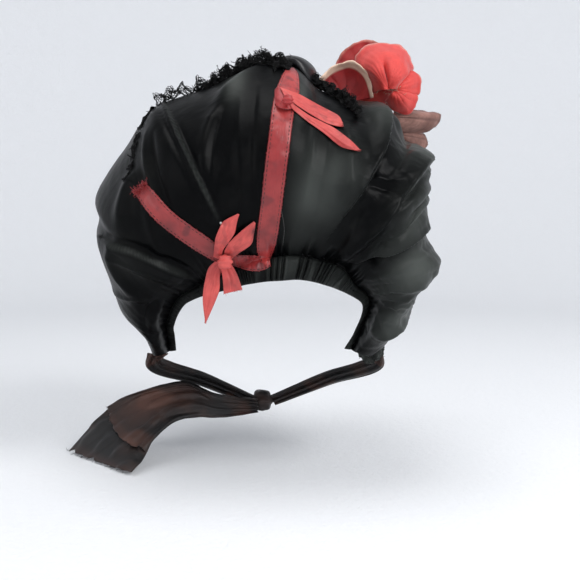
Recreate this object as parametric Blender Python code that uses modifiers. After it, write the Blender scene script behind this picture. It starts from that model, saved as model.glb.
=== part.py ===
"""Victorian bonnet of puffed black silk with a poke brim, coral ribbons, a silk rose and chin ties.

The bonnet is modelled in its worn form. Metres, +Z up. The origin is the point where the top of a
head touches the crown's hollow. The gathered nape of the crown faces -Y, the brim opens towards +Y.
"""
import itertools
import math
from collections import namedtuple

import bpy
import numpy as np
from mathutils import Vector
from mathutils.bvhtree import BVHTree

# Overall sizes of the crown
CROWN_WIDTH = 0.272
CROWN_HEIGHT = 0.240
CROWN_DEPTH = 0.120
CREST_ABOVE_HEAD = 0.055
NAPE_WIDTH = 0.146
NAPE_RISE = 0.072
NAPE_REACH = 0.090

# Cloth, clearances and the depth of folds
SILK_WALL = 0.0015
RIBBON_WALL = 0.0010
LACE_WALL = 0.0010
PETAL_WALL = 0.0011
CLEARANCE = 0.00035
FOLD_HEIGHT = 0.0060
FOLD_WIDTH = 0.0120

# Casing that gathers the nape
CASING_HEIGHT = 0.017
CASING_THICKNESS = 0.009

# Poke brim
BRIM_LENGTH = 0.088
BRIM_WALL = 0.0020
BRIM_TUCK = 0.007
JOIN_FORWARD = 0.013

# Coral ribbons and bows
RIBBON_WIDTH = 0.0155
BOW_REACH = 0.043
KNOT_SIZE = 0.012

# Black edging
LACE_WIDTH = 0.009
LACE_RUFFLE = 0.0025
LACE_SEAT = 0.0006
CREST_LOOP_WIDTH = 0.010

# Silk rose and its leaves
ROSE_RADIUS = 0.041
ROSE_FLARE = 0.004
PETAL_GAP = 0.0008
ROSE_ACROSS = 0.087
ROSE_FORWARD = 0.043
LEAF_LENGTH = 0.052
LEAF_WIDTH = 0.022
LEAF_SINK = 0.0012

# Chin ties
TIE_WIDTH = 0.017
TIE_WALL = 0.0025
BAND_LOOP = 0.013
TAIL_LENGTH = 0.185
TAIL_WIDTH = 0.066
TAIL_WALL = 0.0012
TAIL_GAP = 0.0009
CHIN_KNOT_SIZE = 0.018
KNOT_DROP = 0.228
KNOT_FORWARD = 0.046
TABLE_DROP = 0.268

# Fineness of the meshes
COLUMNS = 52
ROWS = 18
CASING_RINGS = 42

# Reach, rounds and slack with which a sheet is lowered onto the cloth below
PROBE = 0.012
SETTLE_ROUNDS = 14
SETTLE_SLACK = 0.00002

CORNER_Z = CREST_ABOVE_HEAD - CROWN_HEIGHT

Outline = namedtuple("Outline", "turn across up")
Nape = namedtuple("Nape", "turn across up back casing")
Puff = namedtuple("Puff", "turn forward back")
Brim = namedtuple("Brim", "turn across up reach spread")
Fold = namedtuple("Fold", "name kind height width start middle end")
Strip = namedtuple("Strip", "across up width")
Band = namedtuple("Band", "along out forward down")
Tail = namedtuple("Tail", "away forward rise side_away side_forward side_rise")
Petal = namedtuple("Petal", "name turn half_width top layer")

# Rim of the puffed crown seen from behind, from the left corner over the top to the right corner.
# turn is the share of the way round, across is a share of half the crown's width and up is a
# share of its height above the corners.
OUTLINE = (
    Outline(0.000, -0.67, 0.02), Outline(0.032, -0.71, 0.10), Outline(0.071, -0.83, 0.18),
    Outline(0.110, -0.90, 0.27), Outline(0.142, -0.96, 0.36), Outline(0.170, -0.99, 0.44),
    Outline(0.195, -0.97, 0.50), Outline(0.212, -0.99, 0.55), Outline(0.239, -0.93, 0.62),
    Outline(0.286, -0.79, 0.72), Outline(0.318, -0.70, 0.78), Outline(0.349, -0.60, 0.84),
    Outline(0.381, -0.46, 0.87), Outline(0.416, -0.29, 0.90), Outline(0.447, -0.16, 0.94),
    Outline(0.484, 0.01, 0.97), Outline(0.519, 0.17, 0.96), Outline(0.557, 0.31, 0.89),
    Outline(0.587, 0.45, 0.87), Outline(0.619, 0.59, 0.86), Outline(0.643, 0.70, 0.84),
    Outline(0.668, 0.77, 0.78), Outline(0.687, 0.80, 0.73), Outline(0.709, 0.89, 0.715),
    Outline(0.729, 0.98, 0.68), Outline(0.753, 0.94, 0.62), Outline(0.793, 0.94, 0.52),
    Outline(0.831, 0.96, 0.42), Outline(0.854, 1.00, 0.36), Outline(0.877, 0.98, 0.30),
    Outline(0.912, 0.88, 0.22), Outline(0.935, 0.83, 0.165), Outline(0.972, 0.74, 0.08),
    Outline(1.000, 0.67, 0.02),
)

# Lower edge of the nape, as shares of half the nape's width, its rise and its reach backwards.
# casing is the share of the casing's full height.
NAPE = (
    Nape(0.00, -0.99, 0.10, -0.02, 0.30), Nape(0.05, -0.97, 0.32, 0.22, 0.35),
    Nape(0.09, -0.95, 0.44, 0.39, 0.38), Nape(0.18, -0.81, 0.69, 0.62, 0.42),
    Nape(0.25, -0.61, 0.80, 0.78, 0.50), Nape(0.39, -0.21, 0.93, 0.95, 0.75),
    Nape(0.49, 0.05, 0.98, 1.00, 1.00), Nape(0.61, 0.37, 1.00, 0.98, 1.00),
    Nape(0.71, 0.66, 0.92, 0.84, 0.95), Nape(0.78, 0.85, 0.82, 0.68, 0.55),
    Nape(0.85, 1.03, 0.67, 0.46, 0.40), Nape(0.93, 0.98, 0.36, 0.17, 0.34),
    Nape(1.00, 0.88, 0.12, -0.02, 0.30),
)

# Depth of the puff behind the rim, as shares of the crown's depth.
PUFF = (
    Puff(0.00, 0.06, 0.14), Puff(0.03, 0.06, 0.34), Puff(0.07, 0.06, 0.48),
    Puff(0.11, 0.05, 0.60), Puff(0.17, 0.04, 0.74), Puff(0.24, 0.03, 0.86),
    Puff(0.35, 0.01, 0.96), Puff(0.48, -0.01, 1.00), Puff(0.62, -0.01, 0.96),
    Puff(0.73, 0.01, 0.86), Puff(0.83, 0.04, 0.72), Puff(0.90, 0.05, 0.56),
    Puff(0.95, 0.06, 0.40), Puff(1.00, 0.06, 0.14),
)

# Curve that the crown is gathered onto, and the brim's front edge: reach is a share of the brim's
# length and spread scales the front edge about the brim's middle.
BRIM = (
    Brim(0.00, -0.62, 0.03, 0.10, 1.00), Brim(0.09, -0.76, 0.19, 0.34, 1.00),
    Brim(0.18, -0.87, 0.42, 0.66, 1.01), Brim(0.27, -0.81, 0.63, 0.86, 1.03),
    Brim(0.36, -0.52, 0.80, 0.96, 1.05), Brim(0.49, 0.02, 0.88, 1.00, 1.06),
    Brim(0.62, 0.50, 0.82, 0.96, 1.05), Brim(0.71, 0.76, 0.67, 0.88, 1.03),
    Brim(0.80, 0.86, 0.46, 0.70, 1.01), Brim(0.90, 0.76, 0.20, 0.36, 1.00),
    Brim(1.00, 0.61, 0.03, 0.10, 1.00),
)

# Main folds of the crown. The points are (turn, share of the way from nape to rim). A crest and a
# dip are rounded, a lap is a layer that steps over the cloth beside it. Heights and widths are
# shares of the full fold.
FOLDS = (
    Fold("left pleat", "lap", 0.80, 1.4, (0.360, 0.88), (0.373, 0.54), (0.393, 0.21)),
    Fold("soft crease", "crest", 0.45, 0.8, (0.423, 0.62), (0.405, 0.53), (0.387, 0.38)),
    Fold("upper puff", "crest", 0.85, 1.5, (0.425, 0.63), (0.460, 0.74), (0.490, 0.82)),
    Fold("cheek crest", "lap", 0.80, 1.3, (0.185, 0.62), (0.225, 0.30), (0.277, 0.04)),
    Fold("cheek edge", "crest", 0.60, 0.9, (0.200, 0.48), (0.155, 0.42), (0.140, 0.24)),
    Fold("side puff", "crest", 0.70, 1.2, (0.220, 0.44), (0.260, 0.54), (0.290, 0.56)),
    Fold("side crease", "crest", 0.50, 0.8, (0.285, 0.46), (0.267, 0.34), (0.245, 0.22)),
    Fold("jaw strip", "crest", 0.50, 0.9, (0.155, 0.10), (0.090, 0.18), (0.020, 0.22)),
    Fold("middle crest", "crest", 0.70, 0.9, (0.600, 0.60), (0.620, 0.42), (0.634, 0.28)),
    Fold("right crest", "lap", 0.90, 1.2, (0.635, 0.84), (0.658, 0.52), (0.647, 0.22)),
    Fold("right hollow", "dip", 0.60, 1.2, (0.618, 0.72), (0.638, 0.54), (0.644, 0.38)),
    Fold("top puff", "crest", 0.60, 1.3, (0.690, 0.97), (0.672, 0.86), (0.658, 0.76)),
    Fold("pointed fold", "lap", 1.10, 1.2, (0.732, 0.98), (0.722, 0.66), (0.718, 0.44)),
    Fold("long crest", "crest", 0.90, 0.9, (0.762, 0.96), (0.728, 0.45), (0.685, 0.05)),
    Fold("long hollow", "dip", 0.80, 0.8, (0.762, 0.84), (0.740, 0.42), (0.704, 0.10)),
    Fold("low crest", "crest", 0.80, 0.8, (0.778, 0.84), (0.750, 0.44), (0.735, 0.18)),
    Fold("slit", "dip", 0.90, 0.7, (0.742, 0.32), (0.752, 0.22), (0.762, 0.14)),
    Fold("panel edge", "lap", 1.00, 1.1, (0.802, 0.82), (0.790, 0.40), (0.713, 0.06)),
    Fold("panel swell", "crest", 0.80, 1.5, (0.855, 0.90), (0.852, 0.55), (0.840, 0.25)),
    Fold("lower bulge", "crest", 0.60, 1.0, (0.925, 0.92), (0.942, 0.60), (0.955, 0.34)),
    Fold("nape crease", "crest", 0.40, 0.6, (0.677, 0.27), (0.680, 0.16), (0.684, 0.07)),
)

# Centre lines of the ribbons, seen from behind. across and up are shares as in OUTLINE, width is
# a share of the ribbon's width.
RIBBON_VERTICAL = (
    Strip(0.145, 0.955, 0.50), Strip(0.130, 0.915, 1.25), Strip(0.120, 0.84, 1.15),
    Strip(0.100, 0.76, 1.10), Strip(0.080, 0.66, 1.08), Strip(0.060, 0.57, 1.05),
    Strip(0.040, 0.48, 1.03), Strip(0.025, 0.40, 1.00), Strip(0.020, 0.37, 0.60),
)
RIBBON_DIAGONAL = (
    Strip(-0.604, 0.562, 0.67), Strip(-0.554, 0.531, 0.78), Strip(-0.477, 0.483, 0.80),
    Strip(-0.369, 0.435, 0.80), Strip(-0.310, 0.411, 0.80), Strip(-0.265, 0.393, 0.76),
)
RIBBON_TURN = (
    Strip(0.035, 0.343, 0.60), Strip(-0.010, 0.340, 0.66), Strip(-0.050, 0.342, 0.64),
    Strip(-0.080, 0.345, 0.60),
)

# Loops and tails of the two bows. across and up are shares of the bow's reach from its knot.
BOW_LOWER = {
    "loop_left": (Strip(-0.04, 0.07, 0.30), Strip(-0.08, 0.22, 0.55), Strip(-0.03, 0.42, 0.75),
                  Strip(0.10, 0.62, 0.72), Strip(0.21, 0.75, 0.30)),
    "loop_right": (Strip(0.05, 0.05, 0.30), Strip(0.15, 0.19, 0.62), Strip(0.28, 0.35, 0.86),
                   Strip(0.41, 0.47, 1.02), Strip(0.48, 0.52, 0.80)),
    "tail_left": (Strip(-0.07, -0.05, 0.28), Strip(-0.20, -0.19, 0.52), Strip(-0.27, -0.47, 0.68),
                  Strip(-0.29, -0.75, 0.64), Strip(-0.37, -1.06, 0.20)),
    "tail_right": (Strip(0.01, -0.08, 0.28), Strip(0.04, -0.25, 0.62), Strip(0.08, -0.39, 0.82),
                   Strip(0.12, -0.55, 0.98)),
}
BOW_LOWER_KNOT = Strip(-0.183, 0.354, 0.85)
BOW_UPPER = {
    "loop": (Strip(-0.04, 0.03, 0.34), Strip(-0.12, 0.13, 0.62), Strip(-0.17, 0.26, 0.48)),
    "tail_upper": (Strip(0.04, 0.05, 0.32), Strip(0.18, 0.03, 0.56), Strip(0.38, -0.06, 0.66),
                   Strip(0.65, -0.19, 0.58), Strip(0.86, -0.33, 0.26)),
    "tail_lower": (Strip(0.03, -0.07, 0.32), Strip(0.18, -0.14, 0.46), Strip(0.42, -0.30, 0.56),
                   Strip(0.66, -0.49, 0.60), Strip(0.88, -0.69, 0.52), Strip(1.09, -0.82, 0.18)),
}
BOW_UPPER_KNOT = Strip(0.136, 0.811, 0.80)

# Route of the lace edging, as (turn, share of the way from nape to rim).
LACE_ROUTE = ((0.235, 0.74), (0.265, 0.80), (0.300, 0.85), (0.345, 0.91), (0.39, 0.95),
              (0.43, 0.96), (0.47, 0.97), (0.495, 0.97))
CLUMP_ROUTE = ((0.572, 0.95), (0.590, 0.94), (0.610, 0.92), (0.630, 0.90))
CREST_ROUTE = ((0.505, 0.985), (0.520, 0.99), (0.535, 0.99), (0.552, 0.975))

# Petals of the rose. turn is the way that a petal faces in degrees from the right, anticlockwise
# from above, half_width its half width in degrees, top the height of its lip in degrees and layer
# its place outwards from the heart.
PETALS = (
    Petal("inner_far", 40, 85, 82, 1), Petal("inner_near", -140, 98, 80, 2),
    Petal("far_right", 50, 50, 55, 2), Petal("crest", -106, 44, 72, 3),
    Petal("right", -16, 40, 24, 3), Petal("big", -60, 54, 58, 4),
    Petal("far_left", 140, 52, 50, 4), Petal("left", -135, 44, 36, 5),
    Petal("low", -44, 38, -6, 5),
)
LAYERS = 5
ROOT_TILT = -80

# Middle of a chin band between a corner of the bonnet and the knot. along is a share of the
# straight way, out, forward and down are shares of the band's loop.
BAND = (
    Band(0.00, 0.0, 0.0, 0.00), Band(0.08, 0.7, 0.2, 0.40), Band(0.25, 0.9, 0.5, 0.35),
    Band(0.50, 0.7, 0.9, 0.15), Band(0.75, 0.3, 0.6, 0.10), Band(1.00, 0.0, 0.0, 0.00),
)

# Lie of the tie's tails from the knot to their ends on the table. away, forward and rise are
# shares of the tail's length, the side values are the width's direction in shares of its width.
TAIL = (
    Tail(-0.030, -0.044, -0.014, 0.01, -0.02, -0.17), Tail(-0.20, -0.140, 0.01, 0.05, -0.06, -0.28),
    Tail(-0.31, -0.150, 0.04, 0.18, -0.15, -0.42), Tail(-0.45, -0.160, 0.01, 0.42, -0.33, -0.35),
    Tail(-0.55, -0.190, -0.05, 0.51, -0.58, -0.38), Tail(-0.62, -0.250, -0.12, 0.68, -0.80, -0.33),
    Tail(-0.70, -0.310, -0.21, 0.98, -1.05, -0.01),
)
UPPER_TAIL_SHARE = 0.80


def smooth_value(table, name, key):
    """Value of a table's column at a key, on a smooth curve through its rows."""
    rows = [(row[0], getattr(row, name)) for row in table]
    key = min(max(key, rows[0][0]), rows[-1][0])
    index = 0
    while index < len(rows) - 2 and key > rows[index + 1][0]:
        index += 1
    k0, v0 = rows[index]
    k1, v1 = rows[index + 1]
    slope = (v1 - v0) / (k1 - k0)

    def tangent(at):
        if at == 0 or at == len(rows) - 1:
            return slope
        return (rows[at + 1][1] - rows[at - 1][1]) / (rows[at + 1][0] - rows[at - 1][0])

    t = (key - k0) / (k1 - k0)
    run = k1 - k0
    ease = t * t * (3 - 2 * t)
    return (v0 * (1 - ease) + v1 * ease + run * tangent(index) * t * (1 - t) ** 2
            - run * tangent(index + 1) * t * t * (1 - t))


def smooth_points(points, count):
    """Evenly keyed points on a smooth curve through a few given ones."""
    Key = namedtuple("Key", "key " + " ".join("c%d" % n for n in range(len(points[0]))))
    table = [Key(i / (len(points) - 1), *point) for i, point in enumerate(points)]
    names = Key._fields[1:]
    return [tuple(smooth_value(table, name, i / (count - 1)) for name in names)
            for i in range(count)]


def rim_point(turn):
    """Widest line of the crown at one share of the way round."""
    return Vector((smooth_value(OUTLINE, "across", turn) * CROWN_WIDTH / 2,
                   smooth_value(PUFF, "forward", turn) * CROWN_DEPTH,
                   CORNER_Z + smooth_value(OUTLINE, "up", turn) * CROWN_HEIGHT))


def nape_point(turn):
    """Lower edge of the nape casing."""
    return Vector((smooth_value(NAPE, "across", turn) * NAPE_WIDTH / 2,
                   -smooth_value(NAPE, "back", turn) * NAPE_REACH,
                   CORNER_Z + smooth_value(NAPE, "up", turn) * NAPE_RISE))


def outward(turn):
    """Unit direction from the nape's edge to the rim, seen from behind."""
    step = rim_point(turn) - nape_point(turn)
    step.y = 0
    return step.normalized()


def casing_height(turn):
    return smooth_value(NAPE, "casing", turn) * CASING_HEIGHT


def brim_point(turn, forward):
    """Outer face of the brim, forward of the line where the crown joins it."""
    across = smooth_value(BRIM, "across", turn) * CROWN_WIDTH / 2
    up = smooth_value(BRIM, "up", turn) * CROWN_HEIGHT
    length = smooth_value(BRIM, "reach", turn) * BRIM_LENGTH
    share = max(forward, 0) / length
    spread = 1 + (smooth_value(BRIM, "spread", turn) - 1) * share ** 1.5
    middle = CROWN_HEIGHT / 2
    join = smooth_value(PUFF, "forward", turn) * CROWN_DEPTH + JOIN_FORWARD
    return Vector((across * spread, join + forward, CORNER_Z + middle + (up - middle) * spread))


def crown_point(turn, share):
    """Smooth outer face of the crown, without folds: share 0 at the casing and 1 at the rim.

    Past 1 the cloth turns in to the brim, which it meets at share 1.25."""
    rim = rim_point(turn)
    out = outward(turn)
    nape = nape_point(turn) + out * (casing_height(turn) + CLEARANCE)
    back = smooth_value(PUFF, "back", turn) * CROWN_DEPTH + rim.y
    start = -math.acos(min(max((rim.y - nape.y) / back, 0.05), 0.98))
    if share <= 1:
        angle = start + (math.pi / 2 - start) * share
        along = (math.sin(angle) - math.sin(start)) / (1 - math.sin(start))
        flat = nape.lerp(rim, along)
        return Vector((flat.x, rim.y - back * math.cos(angle), flat.z))
    seat = brim_point(turn, 0)
    run = brim_point(turn + 0.005, 0) - brim_point(turn - 0.005, 0)
    away = Vector((-run.z, 0, run.x)).normalized()
    seat += away * (CLEARANCE + 0.6 * SILK_WALL)
    angle = (share - 1) / 0.25 * math.pi / 2
    inward = 1 - math.cos(angle)
    return Vector((rim.x + (seat.x - rim.x) * inward, rim.y + (seat.y - rim.y) * math.sin(angle),
                   rim.z + (seat.z - rim.z) * inward))


def fold_lines():
    """Each fold as points in space with their places on the crown."""
    lines = []
    for fold in FOLDS:
        places = []
        for i in range(15):
            t = i / 14
            places.append([(1 - t) ** 2 * a + 2 * t * (1 - t) * (2 * m - (a + b) / 2) + t * t * b
                           for a, m, b in zip(fold.start, fold.middle, fold.end)])
        lines.append((fold, np.array(places), np.array([crown_point(*p) for p in places])))
    return lines


def fold_lift(point, turn, share, lines):
    """Height that the folds add to the crown at one of its points."""
    lift = 0.0
    for fold, places, line in lines:
        steps = np.linalg.norm(line - point, axis=1)
        near = int(steps.argmin())
        distance = steps[near]
        width = fold.width * FOLD_WIDTH
        if distance > 3 * width:
            continue
        height = fold.height * FOLD_HEIGHT
        end = min(near, len(places) - 1 - near) / (len(places) - 1)
        height *= min(1.0, 0.35 + 3 * end)
        if fold.kind == "crest":
            lift += height * math.exp(-(distance / width) ** 2)
        elif fold.kind == "dip":
            lift -= height * math.exp(-(distance / width) ** 2)
        else:
            before = places[max(near - 1, 0)]
            after = places[min(near + 1, len(places) - 1)]
            side = ((after[0] - before[0]) * (share - before[1])
                    - (after[1] - before[1]) * (turn - before[0]))
            signed = math.copysign(distance, side) / width
            lift += height * (0.5 - 0.5 * math.tanh(3 * signed)) * math.exp(-(0.7 * signed) ** 2)
    return lift


def folded_crown(turns, shares):
    """Grid of points on the folded crown."""
    lines = fold_lines()
    base = [[crown_point(turn, share) for share in shares] for turn in turns]
    grid = []
    for i, turn in enumerate(turns):
        row = []
        for j, share in enumerate(shares):
            along = (base[min(i + 1, len(turns) - 1)][j] - base[max(i - 1, 0)][j])
            up = base[i][min(j + 1, len(shares) - 1)] - base[i][max(j - 1, 0)]
            normal = along.cross(up).normalized()
            hold = min(1.0, share / 0.10, max(0.0, (1.12 - share) / 0.12))
            hold *= min(1.0, i / 3, (len(turns) - 1 - i) / 3)
            lift = fold_lift(np.array(base[i][j]), turn, share, lines) * hold
            row.append(base[i][j] + normal * lift)
        grid.append(row)
    return grid


def new_material(name, colour, roughness, sheen=0.0):
    """One cloth colour."""
    material = bpy.data.materials.new(name)
    material.use_nodes = True
    shader = material.node_tree.nodes["Principled BSDF"]
    shader.inputs["Base Color"].default_value = (*colour, 1)
    shader.inputs["Roughness"].default_value = roughness
    shader.inputs["Metallic"].default_value = 0
    shader.inputs["Sheen Weight"].default_value = sheen
    material.diffuse_color = (*colour, 1)
    return material


def add_mesh(name, points, faces, material):
    """A smooth shaded object of the bonnet from points and faces."""
    mesh = bpy.data.meshes.new(name)
    mesh.from_pydata([tuple(point) for point in points], [], faces)
    mesh.materials.append(material)
    mesh.shade_smooth()
    piece = bpy.data.objects.new(name, mesh)
    BONNET.objects.link(piece)
    return piece


def add_sheet(name, grid, wall, material, facing, grows=1.0):
    """Cloth sheet through a grid of points. facing(point) gives its outer side, and the wall
    grows outwards at 1 and inwards at -1."""
    rows, columns = len(grid), len(grid[0])
    points = [point for row in grid for point in row]
    faces = []
    for i in range(rows - 1):
        for j in range(columns - 1):
            corner = i * columns + j
            faces.append((corner, corner + 1, corner + columns + 1, corner + columns))
    agree = 0.0
    for face in faces:
        a, b, c = (Vector(points[face[k]]) for k in (0, 1, 3))
        middle = sum((Vector(points[k]) for k in face), Vector()) / 4
        agree += (b - a).cross(c - a).normalized().dot(facing(middle))
    if agree < 0:
        faces = [face[::-1] for face in faces]
    piece = add_mesh(name, points, faces, material)
    wall_modifier = piece.modifiers.new("wall", "SOLIDIFY")
    wall_modifier.thickness = wall
    wall_modifier.offset = grows
    wall_modifier.use_even_offset = True
    wall_modifier.thickness_clamp = 1.0
    return piece


def add_tube(name, rings, material):
    """Closed body through rings of points, with a fan at each end."""
    count = len(rings[0])
    points = [point for ring in rings for point in ring]
    faces = []
    for i in range(len(rings) - 1):
        for j in range(count):
            k = (j + 1) % count
            faces.append((i * count + j, i * count + k, (i + 1) * count + k, (i + 1) * count + j))
    faces.append(tuple(range(count - 1, -1, -1)))
    faces.append(tuple((len(rings) - 1) * count + j for j in range(count)))
    piece = add_mesh(name, points, faces, material)
    bpy.context.view_layer.update()
    return piece


def surface_tree(pieces):
    """Search tree over the finished faces of pieces."""
    bpy.context.view_layer.update()
    graph = bpy.context.evaluated_depsgraph_get()
    points = []
    faces = []
    for piece in pieces:
        mesh = piece.evaluated_get(graph).to_mesh()
        first = len(points)
        points += [piece.matrix_world @ vertex.co for vertex in mesh.vertices]
        faces += [[first + k for k in face.vertices] for face in mesh.polygons]
        piece.evaluated_get(graph).to_mesh_clear()
    return BVHTree.FromPolygons(points, faces)


def settle(tree, grid, outs, margin=0.15):
    """Raise a sheet's points along their outward directions until all of its underside clears
    the cloth below. margin is the share of a face that is looked at past its edges."""
    marks = [-margin + (1 + 2 * margin) * k / 9 for k in range(10)]
    for _ in range(SETTLE_ROUNDS):
        raised = False
        for i, j in itertools.product(range(len(grid) - 1), range(len(grid[0]) - 1)):
            corners = ((i, j), (i, j + 1), (i + 1, j), (i + 1, j + 1))
            for a, b in itertools.product(marks, marks):
                shares = ((1 - a) * (1 - b), (1 - a) * b, a * (1 - b), a * b)
                point = Vector()
                out = Vector()
                for (m, n), share in zip(corners, shares):
                    point += grid[m][n] * share
                    out += outs[m][n] * share
                out.normalize()
                hit, normal, _, _ = tree.ray_cast(point + out * PROBE, -out, 2 * PROBE)
                if hit is None:
                    continue
                need = 1.15 * CLEARANCE / max(0.3, abs(normal.dot(out)))
                short = need - (point - hit).dot(out)
                if short > SETTLE_SLACK:
                    raised = True
                    whole = sum(share * share for share in shares)
                    for (m, n), share in zip(corners, shares):
                        grid[m][n] = grid[m][n] + out * (short * share / whole)
        if not raised:
            break
    return grid


def seat_round(tree, start, way, radius, depth):
    """Middle of a round piece that rests on the cloth ahead of start. depth is its half height
    along the way it is laid down."""
    side = way.orthogonal().normalized()
    other = way.cross(side)
    nearest = []
    for ring, k in itertools.product(range(13), range(30)):
        angle = k * math.pi / 15
        offset = (side * math.cos(angle) + other * math.sin(angle)) * radius * ring / 12
        hit = tree.ray_cast(start + offset, way)[0]
        if hit is not None:
            nearest.append((hit - start).dot(way) - depth * math.sqrt(1 - (ring / 12) ** 2))
    return start + way * (min(nearest) - 2.4 * CLEARANCE)


def crown_place(across, up):
    """Point well behind the crown at shares of its width and height."""
    return Vector((across * CROWN_WIDTH / 2, -2 * CROWN_DEPTH, CORNER_Z + up * CROWN_HEIGHT))


def add_strip(name, under, rows, width, material, steps, across_steps, wall, hangs=False,
              follows=False):
    """Ribbon laid over other pieces. rows are (place, width share) along its middle; it is seen
    from behind, and each of its points rests on the cloth in front of it. A strip that hangs
    falls straight where it leaves the cloth, and one that follows it leans with steep cloth."""
    tree = surface_tree(under)
    keyed = smooth_points([(*place, share) for place, share in rows], steps)
    middle = [Vector(point[:3]) for point in keyed]
    ahead = Vector((0, 1, 0))
    grid = []
    outs = []
    for i in range(steps):
        along = (middle[min(i + 1, steps - 1)] - middle[max(i - 1, 0)]).normalized()
        cross = along.cross(ahead).normalized() * width * keyed[i][3]
        row = []
        out_row = []
        for j in range(across_steps + 1):
            place = middle[i] + cross * (j / across_steps - 0.5)
            hit, normal, _, _ = tree.ray_cast(place, ahead)
            above = grid[-1][j].y if grid else place.y
            depth = above if hit is None else hit.y - CLEARANCE
            out = -ahead
            if follows and hit is not None:
                out = (normal * math.copysign(1, -normal.y) - ahead * 0.6).normalized()
            row.append(Vector((place.x, min(depth, above) if hangs and grid else depth, place.z)))
            out_row.append(out)
        grid.append(row)
        outs.append(out_row)
    return add_sheet(name, settle(tree, grid, outs), wall, material, lambda point: -ahead)


def add_ball(name, middle, radius, segments, material):
    """Plain ball of the bonnet."""
    bpy.ops.mesh.primitive_uv_sphere_add(segments=segments, ring_count=segments * 2 // 3,
                                         radius=radius, location=middle)
    ball = bpy.context.object
    ball.name = name
    ball.data.name = name
    ball.data.materials.append(material)
    ball.data.shade_smooth()
    for owner in list(ball.users_collection):
        owner.objects.unlink(ball)
    BONNET.objects.link(ball)
    return ball


def add_knot(name, under, place, size, material):
    """Wrapped knot: a squat ball that rests on the cloth."""
    ball = add_ball(name, Vector(), size / 2, 9, material)
    for vertex in ball.data.vertices:
        vertex.co.y *= 0.6
    ball.location = seat_round(surface_tree(under), place, Vector((0, 1, 0)), size / 2,
                               0.6 * size / 2)
    return ball


def build_crown(material):
    """Puffed back of the bonnet from the nape casing to the brim."""
    turns = [i / COLUMNS for i in range(COLUMNS + 1)]
    shares = [i / ROWS for i in range(ROWS + 1)] + [1.08, 1.17, 1.25]
    grid = folded_crown(turns, shares)
    middle = Vector((0, 0, CORNER_Z + CROWN_HEIGHT / 2))
    return add_sheet("crown", grid, SILK_WALL, material, lambda p: (p - middle).normalized(), -1.0)


def build_brim(material):
    """Stiff poke brim under the front of the crown."""
    grid = []
    for i in range(COLUMNS + 1):
        turn = i / COLUMNS
        length = smooth_value(BRIM, "reach", turn) * BRIM_LENGTH
        stops = [-BRIM_TUCK, 0.0, length * 0.4, length * 0.75, length]
        grid.append([brim_point(turn, stop) for stop in stops])
    middle = Vector((0, 0, CORNER_Z + CROWN_HEIGHT / 2))
    return add_sheet("brim", grid, BRIM_WALL, material, lambda p: (p - middle).normalized(), -1.0)


def build_casing(material):
    """Gathered band along the nape, thick where it is drawn up."""
    rings = []
    for i in range(CASING_RINGS + 1):
        turn = i / CASING_RINGS
        height = casing_height(turn)
        out = outward(turn)
        gather = smooth_value(NAPE, "casing", turn)
        ruche = 1 - 0.16 * gather * (0.5 + 0.5 * math.sin(turn * 47 * math.pi))
        centre = nape_point(turn) + out * height / 2
        thickness = CASING_THICKNESS * (0.35 + 0.65 * gather) / 2 * ruche
        ring = []
        for k in range(8):
            angle = k * math.pi / 4 + math.pi / 8
            ring.append(centre + out * (math.cos(angle) * height / 2 * 1.08)
                        + Vector((0, -1, 0)) * math.sin(angle) * thickness)
        rings.append(ring)
    return add_tube("nape_casing", rings, material)


def build_edging(crown, brim, casing, lace, silk):
    """Lace along the left rim, its bunched end on the right, and the satin loop on the crest."""
    tree = surface_tree([crown, brim, casing])

    def frill(name, route, width, wall, steps, waves, ruffle, lean, material):
        places = smooth_points(route, steps)
        grid = []
        outs = []
        for i, (turn, share) in enumerate(places):
            base = crown_point(turn, share)
            ahead = crown_point(turn, share + 0.01) - crown_point(turn, share - 0.01)
            beside = crown_point(turn + 0.005, share) - crown_point(turn - 0.005, share)
            normal = beside.cross(ahead).normalized()
            foot = tree.ray_cast(base + normal * 2 * PROBE, -normal)[0] + normal * LACE_SEAT
            rise = (normal * lean + ahead.normalized() * (1 - lean)).normalized()
            row = [foot]
            outs.append([normal] * 3)
            for j in (1, 2):
                reach = j / 2
                wave = math.sin(i / (steps - 1) * waves * 2 * math.pi) * ruffle * reach
                row.append(foot + rise * width * reach + normal * (ruffle * reach + wave))
            grid.append(row)
        return add_sheet(name, settle(tree, grid, outs, 0.0), wall, material,
                         lambda p: Vector((0, -1, 0)))

    left = frill("lace_edging", LACE_ROUTE, LACE_WIDTH, LACE_WALL, 42, 8, LACE_RUFFLE, 0.8, lace)
    right = frill("lace_bunch", CLUMP_ROUTE, LACE_WIDTH, LACE_WALL, 20, 4, LACE_RUFFLE, 0.6, lace)
    loop = frill("crest_loop", CREST_ROUTE, CREST_LOOP_WIDTH, SILK_WALL, 9, 1.5,
                 LACE_RUFFLE, 0.9, silk)
    return left, right, loop


def build_ribbons(under, satin):
    """The coral ribbon down the back, its turn and the diagonal ribbon on the left."""
    def line(rows):
        return [(crown_place(row.across, row.up), row.width) for row in rows]

    diagonal = add_strip("ribbon_diagonal", under, line(RIBBON_DIAGONAL), RIBBON_WIDTH, satin, 11, 2,
                         RIBBON_WALL)
    turn = add_strip("ribbon_turn", under, line(RIBBON_TURN), RIBBON_WIDTH, satin, 6, 2, RIBBON_WALL)
    vertical = add_strip("ribbon_vertical", under + [turn], line(RIBBON_VERTICAL), RIBBON_WIDTH,
                         satin, 22, 2, RIBBON_WALL, follows=True)
    return [diagonal, turn, vertical]


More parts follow.
